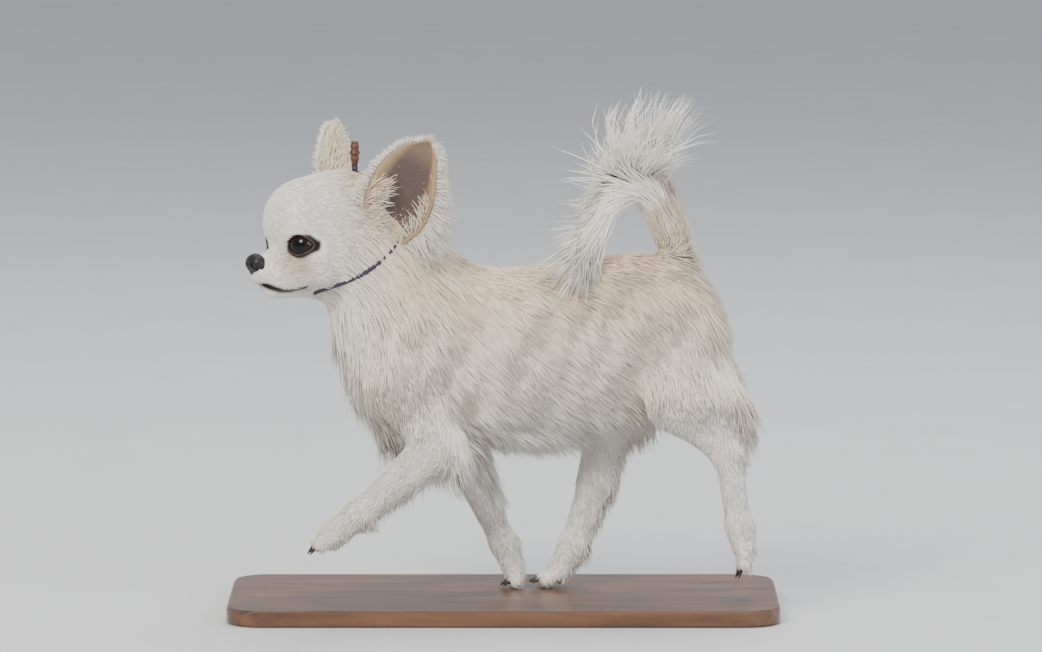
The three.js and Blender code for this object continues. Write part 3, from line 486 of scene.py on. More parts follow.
def tail_place(p):
    """Where along the tail each point lies, from 0 at the croup to 1 at the end of the bone."""
    best = np.full(len(p), 1e9)
    place = np.zeros(len(p))
    spans = len(TAIL_LINE) - 1
    for i in range(spans):
        t, offset = on_span(p, TAIL_LINE[i], TAIL_LINE[i + 1])
        d = np.linalg.norm(offset, axis=1)
        place = np.where(d < best, (i + t) / spans, place)
        best = np.minimum(best, d)
    return place


# Materials
def add_node(tree, kind, settings=None, links=None):
    """Adds a shader node: settings go to its properties or, by name or number, its inputs, and links
    join its inputs to other nodes' outputs."""
    node = tree.nodes.new(kind)
    for key, value in (settings or {}).items():
        if isinstance(key, str) and hasattr(node, key):
            setattr(node, key, value)
        else:
            node.inputs[key].default_value = value
    for key, source in (links or {}).items():
        tree.links.new(node.inputs[key], source)
    return node


def rgba(c):
    """A colour with full opacity."""
    return (*[float(v) for v in c], 1.0)


HAIR_ROUGHNESS = 0.62
# Materials by name: values for the shader's sockets; a pattern with two tones over it, or the markings
# where there are none; a grain, or else the pattern, that darkens the colour by shade and gives a bump
# of (strength, millimetres). A pattern is (kind of texture, its settings, its period in millimetres).
MATERIALS = {
    # Dog hair, straight and fine: a soft broad shine along it and a faint sheen at its edges
    "dog_hair_cream": {
        "values": {
            "Roughness": HAIR_ROUGHNESS,
            "IOR": 1.55,
            "Specular IOR Level": 0.28,
            "Sheen Weight": 0.25,
            "Sheen Roughness": 0.45,
        },
    },
    # Short dense undercoat over skin: matt, its hairs drawn 0.9 mm apart
    "dog_short_coat": {
        "values": {"Roughness": 0.75, "Specular IOR Level": 0.2},
        "pattern": ("Noise", {"Detail": 3.0}, (2.8, 0.9, 1.4)),
        "shade": 0.28,
        "relief": (0.5, 0.6),
    },
    # Nose leather: black, pebbled at 0.7 mm, moist enough for a soft shine
    "nose_leather": {
        "values": {
            "Roughness": 0.46,
            "Specular IOR Level": 0.35,
            "Coat Weight": 0.1,
            "Coat Roughness": 0.3,
        },
        "pattern": ("Voronoi", {}, (0.7, 0.7, 0.7)),
        "tones": ("#1F1A18", "#0B0808"),
        "relief": (0.6, 0.2),
    },
    # A wet eyeball: its own markings with the iris's fibres, under a clear cornea
    "wet_eye": {
        "values": {
            "Roughness": 0.06,
            "IOR": 1.376,
            "Specular IOR Level": 0.25,
            "Coat Weight": 0.3,
            "Coat Roughness": 0.02,
        },
        "pattern": ("Noise", {"Detail": 2.0}, (0.8, 0.8, 0.8)),
        "shade": 0.35,
    },
    # Bare pigmented lid skin: dark brown, fine creases 0.5 mm apart, slightly moist
    "lid_skin": {
        "values": {"Roughness": 0.42},
        "pattern": ("Noise", {"Detail": 3.0}, (0.5, 0.5, 0.5)),
        "tones": ("#1A1210", "#33241E"),
        "relief": (0.4, 0.2),
    },
    # Claw horn: dark and smooth, with faint lines along it 0.4 mm apart
    "claw_horn": {
        "values": {"Roughness": 0.35},
        "pattern": ("Noise", {}, (1 / 0.7, 0.4, 1 / 0.7)),
        "tones": ("#1C1815", "#4A4038"),
    },
    # Woven nylon cord, dark plum: a twill of threads 0.6 mm apart with a low sheen
    "woven_nylon_cord": {
        "values": {"Roughness": 0.6},
        "pattern": ("Wave", {"bands_direction": "DIAGONAL", "Distortion": 0.6}, (1, 1, 1)),
        "tones": ("#1E1524", "#4A3856"),
        "relief": (0.6, 0.2),
    },
    # Moulded acetal, brown: smooth with a slight orange-peel of 0.8 mm
    "moulded_acetal": {
        "values": {"Roughness": 0.3},
        "pattern": ("Noise", {"Detail": 2.0}, (0.8, 0.8, 0.8)),
        "tones": ("#4A2C1C", "#6B4228"),
        "relief": (0.15, 0.1),
    },
    # Stained oak under satin varnish: grain along the plate, rings 7 mm apart and pores 0.5 mm wide
    "stained_oak": {
        "values": {"Roughness": 0.42, "Coat Weight": 0.3, "Coat Roughness": 0.25},
        "pattern": ("Noise", {"Detail": 5.0, "Distortion": 0.8}, (90, 7, 12)),
        "tones": ("#4A2F1E", "#80583A"),
        "stops": (0.3, 0.7),
        "grain": ("Noise", {"Detail": 2.0}, (12, 0.5, 0.8)),
        "shade": 0.35,
        "relief": (0.2, 0.2),
    },
    # Plain pale studio floor, matt, with a very faint unevenness 60 mm across
    "pale_studio_floor": {
        "values": {"Roughness": 0.85},
        "pattern": ("Noise", {}, (62.5, 62.5, 62.5)),
        "tones": ("#C9CACB", "#D2D3D4"),
    },
}


def texture(tree, kind, settings, period):
    """A texture over Object coordinates, scaled so that one unit is one period."""
    place = add_node(tree, "ShaderNodeTexCoord").outputs["Object"]
    scale = tuple(1 / (size * MM) for size in period)
    place = add_node(tree, "ShaderNodeMapping", {"Scale": scale}, {"Vector": place}).outputs["Vector"]
    node = add_node(tree, f"ShaderNodeTex{kind}", {"Scale": 1.0, **settings}, {"Vector": place})
    return node.outputs["Distance" if kind == "Voronoi" else "Fac"]


def make_material(name):
    """The material of that name, built from its row of MATERIALS."""
    row = MATERIALS[name]
    material = bpy.data.materials.new(name)
    material.use_nodes = True
    tree = material.node_tree
    shader = tree.nodes["Principled BSDF"]
    for socket, value in row["values"].items():
        shader.inputs[socket].default_value = value
    field = texture(tree, *row["pattern"]) if "pattern" in row else None
    if "tones" in row:
        tone = add_node(tree, "ShaderNodeValToRGB", links={"Fac": field})
        for k, element in enumerate(tone.color_ramp.elements):
            element.position = row.get("stops", (0, 1))[k]
            element.color = rgba(colour(row["tones"][k]))
    else:
        tone = add_node(tree, "ShaderNodeVertexColor", {"layer_name": "Marking"})
    base = tone.outputs["Color"]
    if "grain" in row:
        field = texture(tree, *row["grain"])
    if "shade" in row:
        settings = {"blend_type": "MULTIPLY", "Fac": row["shade"]}
        shaded = add_node(tree, "ShaderNodeMixRGB", settings, {"Color1": base, "Color2": field})
        base = shaded.outputs["Color"]
    tree.links.new(shader.inputs["Base Color"], base)
    if "relief" in row:
        strength, depth = row["relief"]
        settings = {"Strength": strength, "Distance": depth * MM}
        bump = add_node(tree, "ShaderNodeBump", settings, {"Height": field})
        tree.links.new(shader.inputs["Normal"], bump.outputs["Normal"])
    return material


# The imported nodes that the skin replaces
FLESH_NODES = (
    "head", "neck", "torso", "tail_root", "tail_arch", "tail_end",
    "upper_arm_left", "forearm_left", "forepaw_left",
    "upper_arm_right", "forearm_right", "forepaw_right",
    "thigh_left", "shank_left", "hindpaw_left",
    "thigh_right", "shank_right", "hindpaw_right",
)
# What one operator leaves for the next
made = {}


def ticks(*stretches):
    """Grid places along one axis: stretches of (start, stop, step), each step its own fineness."""
    return np.concatenate([np.arange(a, b, step) for a, b, step in stretches])


def skin_axes():
    """The grid's places, finest at the face, so that the lids, lips and muzzle are crisp."""
    return (
        ticks((-156, -104, 0.8), (-104, -60, 1.25), (-60, 156, 1.7)),
        ticks((-46, 6, 1.0), (6, 46, 1.5)),
        ticks((-1, 172, 1.7), (172, 216, 0.8), (216, 262, 1.25)),
    )


# Heights over the base that skin, hair and claws keep, in millimetres
SOLE_LEVEL = 0.2
HAIR_LEVEL = 0.4
CLAW_LEVEL = 0.35
# The most that a corner of the skin moves at once, in millimetres
STEP_MOST = 1.5


def make_skin(material):
    """The skin, moved twice onto the zero of its distance, with flat soles just over the base."""
    points, faces = surface_net(body, skin_axes())
    for _ in range(2):
        step = body(points)[:, None] * slope(points, body)
        points = points - np.clip(step, -STEP_MOST, STEP_MOST)
    points[:, 2] = np.maximum(points[:, 2], SOLE_LEVEL)
    weights = group_weights(points)
    tones = markings(points, weights)
    made["skin"] = (points, faces, weights)
    mesh_piece("skin", points, faces, material, FLESH_NODES, tones)


def scatter(points, faces, density, seed):
    """Root places drawn over four-sided faces: each half-face gets roots by its area times the density
    at its corner, at even random places on it."""
    random = np.random.default_rng(seed)
    tri = np.concatenate([faces[:, [0, 1, 2]], faces[:, [0, 2, 3]]])
    a, b, c = (points[tri[:, k]] for k in range(3))
    area = np.linalg.norm(np.cross(b - a, c - a), axis=1) / 2 * density[tri[:, 0]]
    count = int(area.sum())
    pick = np.searchsorted(np.cumsum(area), random.uniform(0, area.sum(), count))
    u, v = random.random((2, count))
    flip = u + v > 1
    u, v = np.where(flip, 1 - u, u), np.where(flip, 1 - v, v)
    return a[pick] + u[:, None] * (b - a)[pick] + v[:, None] * (c - a)[pick]


# A tuft's three corners as shares of its breadth: sideways, and away from the skin
TUFT_SECTION = ((0.5, -0.08), (0.0, 0.2), (-0.5, -0.08))
# How wide a tuft's patch is on the baking map
BAKE_PATCH = 0.003


def tuft_mesh(paths, normals, widths, profile):
    """Closed blades along paths of shape (roots, rings + 1, 3): at each ring a low triangle whose breadth
    is the tuft's width times the profile, ending in a point."""
    roots, steps, _ = paths.shape
    rings = steps - 1
    along = np.empty_like(paths)
    along[:, :-1] = np.diff(paths, axis=1)
    along[:, -1] = along[:, -2]
    along = unit(along)
    across = unit(np.cross(along, normals))
    face = np.cross(across, along)
    breadth = widths[:, None] * np.asarray(profile)[None, :rings]
    corners = np.empty((roots, rings, 3, 3))
    for k, (side, high) in enumerate(TUFT_SECTION):
        sideways = across[:, :rings] * (side * breadth)[..., None]
        corners[:, :, k] = paths[:, :rings] + sideways + face[:, :rings] * (high * breadth)[..., None]
    points = np.concatenate([corners.reshape(roots, rings * 3, 3), paths[:, -1:]], axis=1)
    tri = [(0, 2, 1)]
    for r in range(rings - 1):
        for k in range(3):
            a, b = r * 3 + k, r * 3 + (k + 1) % 3
            tri += [(a, b, b + 3), (a, b + 3, a + 3)]
    tip = rings * 3
    tri += [(tip - 3 + k, tip - 3 + (k + 1) % 3, tip) for k in range(3)]
    tri = np.array(tri)
    faces = (np.arange(roots)[:, None, None] * (tip + 1) + tri[None]).reshape(-1, 3)
    return points.reshape(-1, 3), faces, tip + 1


def bake_map(piece, places, corners_each):
    """The map for baking: each tuft is a small patch at its root's place on the skin's unwrap."""
    mesh = piece.data
    layer = mesh.uv_layers.new(name="OFBake")
    steps = np.linspace(0, 1, corners_each)
    local = np.stack([np.tile([0, 0.5, 1], corners_each)[:corners_each], steps], -1) * BAKE_PATCH
    uv = (places[:, None] + local[None] - BAKE_PATCH / 2).reshape(-1, 2)
    index = np.empty(len(mesh.loops), np.int32)
    mesh.loops.foreach_get("vertex_index", index)
    layer.data.foreach_set("uv", np.clip(uv[index], 0, 1).ravel())


# The axis of each group's cylinder on the baking map
CHART_AXES = {
    "trunk": ((-66, 0, 140), (110, 0, 163)),
    "neck": ((-44, 0, 150), (-84, -4, 222)),
    "head": (on_head(-36, 0, 0), on_head(58, 0, -28)),
    "fore_left": ((-40, -26, 165), (-112, -26, 32)),
    "fore_right": ((-50, 22, 165), (8, 19, 0)),
    "hind_left": ((98, -15, 170), (144, -24, 16)),
    "hind_right": ((96, 15, 170), (20, 20, 2)),
    "tail": ((104, 0, 188), (54, -17, 217)),
}


def unwrap(p, weights):
    """A cylinder unwrap of each group of flesh in its own cell of a four by two sheet: the place along
    the group's axis goes across the cell, and the angle round it goes up the cell."""
    owner = weights.argmax(1)
    uv = np.zeros((len(p), 2))
    for i, group in enumerate(GROUPS):
        mine = owner == i
        a, b = (np.asarray(q, float) for q in CHART_AXES[group])
        axis = b - a
        across = unit(np.cross(axis, SIDEWAYS))
        side = unit(np.cross(across, axis))
        q = p[mine] - a
        v = np.clip((q @ axis / (axis @ axis)) * 0.84 + 0.08, 0.02, 0.98)
        angle = (np.arctan2(q @ across, q @ side) / (2 * np.pi) + 0.5) * 0.94 + 0.03
        uv[mine] = np.stack([(i % 4 + v) / 4, (i // 4 + angle) / 2], -1)
    return uv


# The tail's way in the middle of each of its five spans, and its hair's length along it
TAIL_MIDDLES = (0.1, 0.3, 0.5, 0.7, 0.9)
TAIL_WAYS = np.array(
    [(-0.12, 0, 0.99), (-0.45, 0, 0.89), (-0.95, -0.25, 0.25), (-0.64, -0.32, -0.7), (-0.41, -0.36, -0.84)]
)
TAIL_HAIR = ((0, 0.2, 0.4, 0.6, 0.72, 0.85, 1), (22, 27, 30, 38, 52, 54, 48))
# The height on each leg below which its hair is short
SHORT_BELOW = {"fore_left": 42, "fore_right": 22, "hind_left": 40, "hind_right": 24}


def coat_rules(p, normals, weights):
    """How the coat grows at each root: its lie on the skin, the way it hangs where it is free, its length,
    its width, how far it stands over the skin and how much of it hangs."""
    w = {g: weights[:, i : i + 1] for i, g in enumerate(GROUPS)}
    w["fore"], w["hind"] = w["fore_left"] + w["fore_right"], w["hind_left"] + w["hind_right"]
    h = to_head(p)
    x, z = p[:, :1], p[:, 2:3]
    n = normals
    zero = np.zeros_like(x)

    def way(a, b, c):
        return np.concatenate([a + zero, b + zero, c + zero], 1)

    def by_group(**values):
        return sum(w[group] * value for group, value in values.items())

    under = ramp(-n[:, 2:3], 0.15, 0.85)
    rear = ramp(n[:, :1], 0.1, 0.8)
    front = ramp(-n[:, :1], 0.0, 0.8)
    flank = ramp(np.abs(n[:, 1:2]), 0.3, 1)
    s = tail_place(p)[:, None]
    tail_along = np.concatenate([np.interp(s, TAIL_MIDDLES, k) for k in TAIL_WAYS.T], 1)
    plume = ramp(n[:, 2:3] + 0.45 * n[:, :1], 0.1, 0.7) * ramp(s, 0.16, 0.34) * ramp(-s, -0.7, -0.52)
    tail_way = tail_along * (1 - plume) + way(0.3 - 0.9 * s, 0, 1) * plume
    f, l = h[:, :1], h[:, 1:2]
    muzzle = ramp(f, 24, 40)
    from_nose = unit(h - np.array([60, 0, -22]))
    back_over = from_nose @ HEAD_AXES
    face_way = back_over + 0.35 * np.sign(l) * LEFT * (1 - muzzle) - 0.15 * UP
    skull_way = along_head(-0.9, 0, -0.25) + 0.5 * np.sign(l) * LEFT * ramp(np.abs(l), 4, 20)
    skull_way = skull_way - 0.5 * UP * ramp(np.abs(l), 14, 28)
    head_way = face_way * ramp(f, 4, 24) + skull_way * (1 - ramp(f, 4, 24))
    upper = ramp(z, 95, 125)
    lie = by_group(
        trunk=way(0.85, 0, -0.35 - 0.5 * flank) - way(0.6, 0, 0.5) * front,
        neck=way(0.65, 0, -0.75) + way(-0.7, 0, -0.3) * front,
        head=head_way,
        fore_left=way(0.1, 0, -1) * upper + way(-0.55, 0, -0.8) * (1 - upper),
        fore_right=way(0.3, 0, -1),
        hind=way(0.25, 0, -1),
        tail=tail_way,
    )
    fall = by_group(
        trunk=way(0.62, 0, -0.8) - way(0.5, 0, 0) * ramp(-x, 30, 60),
        neck=way(0.12, 0, -1),
        head=0.5 * head_way - 0.5 * UP,
        fore=way(0.5, 0, -0.85),
        hind=way(0.3, 0, -1),
        tail=unit(tail_along + way(-0.22, 0, -0.5)) * (1 - plume) + way(0.65, 0, 0.7) * plume,
    )
    cheek = ramp(-f, -14, 6) * ramp(-h[:, 2:3], -2, 22)
    head_length = 4 + 4 * ramp(-f, -20, 4) + 13 * cheek - 1.8 * muzzle
    fore_length = 6 + 16 * rear * ramp(z, 48, 80) + 8 * ramp(z, 95, 140) + 5 * rear
    hind_length = 6.5 + 16 * rear * ramp(z, 86, 116) + 14 * ramp(z, 105, 150) + 6 * rear
    inner = ramp(-n[:, :1], 0.1, 0.7) * ramp(-s, -0.5, -0.3)
    tail_length = np.interp(s, *TAIL_HAIR) * (1 - 0.3 * inner)
    tail_length = tail_length * (1 - plume) + 68 * plume
    length = by_group(
        trunk=19 + 12 * under + 8 * ramp(-x, 40, 60) + 4 * rear,
        neck=26 + 8 * front,
        head=head_length,
        fore=fore_length,
        hind=hind_length,
        tail=tail_length,
    )
    for leg, top in SHORT_BELOW.items():
        length = length * (1 - w[leg] * (1 - ramp(z, top - 14, top + 12)) * 0.45)
    stand = by_group(
        trunk=2.6,
        neck=3.6,
        head=0.5 + 2 * cheek + 0.9 * ramp(-f, -10, 10),
        fore=0.8 + 1.4 * ramp(z, 90, 130),
        hind=0.8 + 1.8 * ramp(z, 90, 130),
        tail=6 - 2 * plume - 3 * ramp(s, 0.55, 0.75),
    )
    hang = by_group(
        trunk=0.15 + 0.75 * under + 0.5 * ramp(-x, 45, 65),
        neck=0.45 + 0.4 * front,
        head=0.5 * cheek,
        fore=0.1 + 0.9 * rear,
        hind=0.1 + 0.8 * rear,
        tail=0.6 + 0.2 * plume,
    )
    hang = np.clip(hang, 0, 1)
    width = np.clip(length * 0.019 + 0.4, 0.42, 1.2)
    return unit(lie), unit(fall), length[:, 0], width[:, 0], stand[:, 0], hang[:, 0]


# Locks: (size in millimetres, seed, strength) of the sway that draws neighbours together, over the body
# and then on the tail, and how much each tuft strays by itself
LOCKS = (20, 21, 0.13)
TAIL_LOCKS = (11, 33, 0.22)
STRAY = 0.045
ROOT_DEEP = 0.7


def grow(roots, seed, rings):
    """Paths of tufts from their roots: each step goes along the lie, turned towards the fall as the tuft
    gets free, swayed so that neighbours draw together into locks, and kept over the skin."""
    random = np.random.default_rng(seed)
    normals = slope(roots, body)
    weights = group_weights(roots)
    lie, fall, length, width, stand, hang = coat_rules(roots, normals, weights)
    lie = unit(lie - (lie * normals).sum(1, keepdims=True) * normals * 0.92)
    count = len(roots)
    on_tail = weights[:, GROUPS.index("tail")]
    shorter = random.random(count) ** (1 - 0.5 * on_tail)
    length = length * (1.18 - (0.46 + 0.36 * on_tail) * shorter)
    stand = stand * random.uniform(0.25, 1.15, count)
    drift = sway(roots, *LOCKS[:2]) * LOCKS[2] + random.normal(size=(count, 3)) * STRAY
    drift = drift + on_tail[:, None] * sway(roots, *TAIL_LOCKS[:2]) * TAIL_LOCKS[2]
    lift = np.clip(stand / np.maximum(length, 1) * 2.0, 0.04, 0.45)[:, None]
    paths = [roots - normals * ROOT_DEEP]
    for i in range(1, rings + 1):
        t = i / rings
        free = (hang * t)[:, None]
        way = lie * (1 - free) + fall * free + normals * lift * (1 - 1.5 * t) + drift * (0.4 + t)
        p = paths[-1] + unit(way) * (length / rings)[:, None]
        gap = body(p)
        least = stand * np.sin(np.pi * min(t * 0.9 + 0.1, 1)) * 0.5 + 0.25
        p = p + normals * np.clip(least - gap, 0, length / rings)[:, None]
        most = stand * (0.5 + 0.9 * t)
        p = p - normals * (np.clip(gap - most, 0, length / rings) * (1 - hang) * 0.8)[:, None]
        paths.append(p)
    paths = np.stack(paths, 1)
    paths[..., 2] = np.maximum(paths[..., 2], HAIR_LEVEL)
    return paths, normals, width * random.uniform(0.75, 1.25, count), weights, random


# How far from the eyes, lips, soles and nose the first tufts root
LIDS_BARE = 1.9
LIPS_BARE = 1.8
SOLES_BARE = 1.5
NOSE_BARE = 8.2
NOSE_CENTRE = on_head(54, 0, -24)


def eye_clear(roots):
    """True for roots outside the eyes and their lids."""
    far = EYE_RADIUS + LIDS_BARE
    return np.all([np.linalg.norm(roots - centre, axis=1) > far for centre in EYES.values()], axis=0)


def tuft_tones(tones, corners_each, random):
    """Each tuft's colour along it: a little darker and warmer at the root, paler to the tip, and the whole
    tuft a little lighter or darker than its neighbours."""
    fade = np.linspace(0.94, 1.03, corners_each)[None, :, None]
    own = random.uniform(0.94, 1.04, (len(tones), 1, 1))
    warm = np.array([1.0, 0.985, 0.955])
    root_tint = warm + (1 - warm) * np.linspace(0, 1, corners_each)[None, :, None]
    return np.clip(tones[:, None, :] * fade * own * root_tint, 0, 1).reshape(-1, 3)


def coat_piece(name, roots, seed, profile, material):
    """One piece of the coat, grown from its roots and coloured by its markings."""
    rings = len(profile)
    paths, normals, widths, weights, random = grow(roots, seed, rings)
    normals = np.repeat(normals[:, None], rings + 1, 1)
    points, faces, each = tuft_mesh(paths, normals, widths, profile)
    tones = tuft_tones(markings(roots, weights), each, random)
    piece = mesh_piece(name, points, faces, material, (), tones)
    bake_map(piece, unwrap(roots, weights), each)


# A tuft's breadth at each ring, and the count of tufts of each piece of the coat
LONG_PROFILE = (0.7, 1.0, 0.85, 0.5)
SHORT_PROFILE = (0.9, 1.0, 0.6)
COAT_COUNTS = {
    "coat_shoulder_left": 9000,
    "coat_flank_left": 9000,
    "coat_shoulder_right": 5600,
    "coat_flank_right": 5600,
    "coat_neck": 8000,
    "coat_head": 11500,
    "coat_fore_left": 7500,
    "coat_fore_right": 5000,
    "coat_hind_left": 8000,
    "coat_hind_right": 5500,
    "coat_tail": 7000,
}
LONG_PIECES = ("coat_neck", "coat_tail")


def region_masks(p, weights):
    """Where each piece of the coat grows: the trunk's four quarters and every other group."""
    owner = weights.argmax(1)
    name = np.array(GROUPS)[owner]
    near = p[:, 1] < 0
    ahead = p[:, 0] < 18
    masks = {}
    for side, here in (("left", near), ("right", ~near)):
        masks[f"coat_shoulder_{side}"] = (name == "trunk") & here & ahead
        masks[f"coat_flank_{side}"] = (name == "trunk") & here & ~ahead
    for group in GROUPS[1:]:
        masks[f"coat_{group}"] = name == group
    return masks


def make_coat(material):
    """The coat's pieces in order, each with a seed of its own, denser towards the muzzle on the head."""
    points, faces, weights = made["skin"]
    area_seed = SEED
    masks = region_masks(points, weights)
    for name, count in COAT_COUNTS.items():
        density = masks[name].astype(float)
        if name == "coat_head":
            density = density * (0.5 + 1.6 * ramp(to_head(points)[:, 0], -10, 30))
        a, b, d = (points[faces[:, k]] for k in (0, 1, 3))
        tri_area = np.linalg.norm(np.cross(b - a, d - a), axis=1)
        density = density * count / max((tri_area * density[faces[:, 0]]).sum(), 1)
        area_seed += 1
        roots = scatter(points, faces, density, area_seed)
        keep = eye_clear(roots) & (mouth_distance(roots) > LIPS_BARE) & (roots[:, 2] > SOLES_BARE)
        keep &= np.linalg.norm(roots - NOSE_CENTRE, axis=1) > NOSE_BARE
        profile = LONG_PROFILE if name in LONG_PIECES else SHORT_PROFILE
        coat_piece(name, roots[keep], area_seed, profile, material)


def ring_faces(rings, sides):
    """Four-sided faces between rings of corners, ring by ring, the last row from the end to the start."""
    r, k = np.meshgrid(np.arange(rings), np.arange(sides), indexing="ij")
    near, far = r * sides + k, r * sides + (k + 1) % sides
    total = rings * sides
    return np.stack([near, far, (far + sides) % total, (near + sides) % total], -1).reshape(-1, 4)


# The ears: at each place along the leaf, how far it reaches ahead and behind, its thickness and its cup
EAR_LEAF = np.array(
    [
        (0.0, 8, 7, 4, 0),
        (0.12, 14, 11, 2.6, 0.5),
        (0.26, 20, 16, 1.3, 0.9),
        (0.46, 22.5, 17, 1, 0.75),
        (0.64, 21.5, 14.5, 1, 0.55),
        (0.8, 17, 10.5, 0.9, 0.35),
        (0.92, 10.5, 6.5, 0.8, 0.2),
        (1.0, 0.6, 0.6, 0.6, 0.1),
    ]
)
EAR_THICK = 1.3
EAR_CUP = 9
# How many tufts grow on an ear's back, on its rims and over its lower cup
EAR_BACK_HAIRS = 2300
EAR_RIM_HAIRS = 1200
EAR_WISPS = 320


def ear_frame(s):
    """An ear's root, its long axis and length, the way it opens and the way to its front rim."""
    root, tip = on_head(-17, 30 * s, -14), on_head(-30, 64.5 * s, 51)
    long = np.linalg.norm(tip - root)
    axis = (tip - root) / long
    opening = along_head(0.454, 0.891 * s, 0.1)
    opening = unit(opening - (opening @ axis) * axis)
    front = unit(np.cross(opening, axis))
    if front @ FORWARD < 0:
        front = -front
    return root, axis, long, opening, front


def smooth_rows(keys, values, at):
    """Values between keys by cubic steps whose slopes are those of the neighbouring keys."""
    grad = np.gradient(values, keys)
    i = np.clip(np.searchsorted(keys, at) - 1, 0, len(keys) - 2)
    step = keys[i + 1] - keys[i]
    t = (at - keys[i]) / step
    return (
        (2 * t**3 - 3 * t**2 + 1) * values[i]
        + (t**3 - 2 * t**2 + t) * step * grad[i]
        + (3 * t**2 - 2 * t**3) * values[i + 1]
        + (t**3 - t**2) * step * grad[i + 1]
    )


def ear_point(s, u, v, face):
    """A place on an ear: v runs from root to tip and u across from rear rim to front rim. The leaf is
    cupped by a parabola across, and face is 1 on the inner side and -1 on the outer."""
    root, axis, long, opening, front = ear_frame(s)
    ahead, behind, fat, cup = (smooth_rows(EAR_LEAF[:, 0], EAR_LEAF[:, k], v) for k in (1, 2, 3, 4))
    reach = np.where(u > 0, ahead, behind) * u
    ripple = 0.5 * np.sin(5 * v + 2.5 * u) * u * u
    hollow = -EAR_CUP * cup * (1 - u * u) + ripple + face * EAR_THICK / 2 * fat * (1 - 0.75 * u**4)
    return (
        root
        + axis * (v * long)[..., None]
        + front * reach[..., None]
        + opening * hollow[..., None]
    )


def ear_tones(u, v, face):
    """Inside: grey-brown bare skin, tan towards the rims. Outside: tan low down, cream to the rims."""
    rim = ramp(np.abs(u), 0.55, 0.95)[..., None]
    outer = mix(mix(CREAM, TAN, 0.55), CREAM, 0.5 * rim)
    inner = mix(mix(EAR_DARK, EAR_TAN, rim), EAR_TAN, ramp(v, 0.7, 1.0)[..., None] * 0.4)
    return np.where(face[..., None] > 0, inner, outer)


def make_ear(side, s, skin, hair):
    """A closed shell: rings round the leaf from root to tip, out along its back and home along its cup."""
    rows, half = 56, 26
    sweep = np.linspace(-1, 1, half)
    u, face = np.concatenate([sweep, sweep[::-1]]), np.repeat([-1.0, 1.0], half)
    u, v, face = np.broadcast_arrays(u[None], np.linspace(0, 1, rows)[:, None], face[None])
    points = ear_point(s, u, v, face)
    tones = ear_tones(u, v, face)
    sides = 2 * half
    points, tones = points.reshape(-1, 3), tones.reshape(-1, 3)
    quads = ring_faces(rows, sides)[:-sides]
    ends = []
    for ring in (0, rows - 1):
        for k in range(half - 1):
            a, b = ring * sides + k, ring * sides + k + 1
            c, d = ring * sides + sides - 2 - k, ring * sides + sides - 1 - k
            ends.append((a, d, c, b) if ring == 0 else (a, b, c, d))
    faces = np.concatenate([quads, np.array(ends)])
    a, b, d = points[faces[:, 0]], points[faces[:, 1]], points[faces[:, 3]]
    volume = (a * np.cross(b, d)).sum() + (points[faces[:, 2]] * np.cross(d, b)).sum()
    if volume < 0:
        faces = faces[:, ::-1]
    mesh_piece(f"ear_shell_{side}", points, faces, skin, (f"ear_{side}",), tones)
    ear_hair(side, s, hair)


def ear_hair(side, s, material):
    """Hair of an ear: short and flat on its back, a soft fringe along its rims, longest at the rear and
    low down, and long wisps from the front rim over the lower cup."""
    random = np.random.default_rng(SEED + 60 + s)
    root, axis, long, opening, front = ear_frame(s)
    rings = 3
    columns = [[] for _ in range(5)]

    def batch(u, v, side_of_leaf, way, length, width, stand, tone):
        place = ear_point(s, u, v, np.full(len(u), float(side_of_leaf)))
        normal = opening * side_of_leaf + 0 * place
        way = unit(way)
        steps = [place + normal * 0.3]
        for i in range(1, rings + 1):
            t = i / rings
            turn = unit(way + normal * stand * (0.35 - 0.45 * t) - UP * 0.12 * t)
            steps.append(steps[-1] + turn * (length / rings)[:, None])
        sheet = 0.5 + (place - root) @ np.stack([front, axis], -1) / (4.2 * long)
        rows = (np.stack(steps, 1), np.repeat(normal[:, None], rings + 1, 1), width, tone, sheet)
        for column, row in zip(columns, rows):
            column.append(row)

    n = EAR_BACK_HAIRS
    u, v = random.uniform(-0.86, 0.86, n), random.uniform(0.02, 0.97, n)
    way = axis * 0.9 - front * 0.25 * np.sign(u)[:, None] + random.normal(size=(n, 3)) * 0.12
    tone = ear_tones(u, v, -np.ones(n))
    batch(u, v, -1, way, random.uniform(5, 9, n), random.uniform(0.7, 1.1, n), 0.7, tone)
    n = EAR_RIM_HAIRS
    u = random.uniform(0.93, 1.0, n) * random.choice([-1, 1], n)
    v = random.uniform(0.05, 0.98, n)
    behind = u < 0
    low = 1 - ramp(v, 0.15, 0.8)
    length = np.where(behind, 8 + 20 * low, 5 + 8 * low) * random.uniform(0.6, 1.1, n)
    out = front * np.sign(u)[:, None]
    way = out * 0.75 + axis * (0.55 - 0.5 * low)[:, None] - UP * (0.55 * low * behind)[:, None]
    way = way + random.normal(size=(n, 3)) * 0.16
    tone = mix(CREAM, WHITE, 0.4) + np.zeros((n, 3))
    batch(u, v, -1, way, length, random.uniform(0.7, 1.3, n), 0.8, tone)
    n = EAR_WISPS
    u = np.where(random.random(n) < 0.75, random.uniform(0.6, 0.98, n), random.uniform(-0.95, -0.75, n))
    v = random.uniform(0.06, 0.5, n)
    way = axis * 0.8 - front * (0.55 * np.sign(u))[:, None] + opening * 0.25
    way = way + random.normal(size=(n, 3)) * 0.18
    tone = mix(CREAM, TAN, 0.25) + np.zeros((n, 3))
    batch(u, v, 1, way, random.uniform(6, 14, n), random.uniform(0.5, 0.9, n), 0.8, tone)
    paths, normals, widths, tones, places = (np.concatenate(column) for column in columns)
    points, faces, each = tuft_mesh(paths, normals, widths, SHORT_PROFILE)
    tones = tuft_tones(tones, each, random)
    piece = mesh_piece(f"coat_ear_{side}", points, faces, material, (), tones)
    bake_map(piece, places, each)


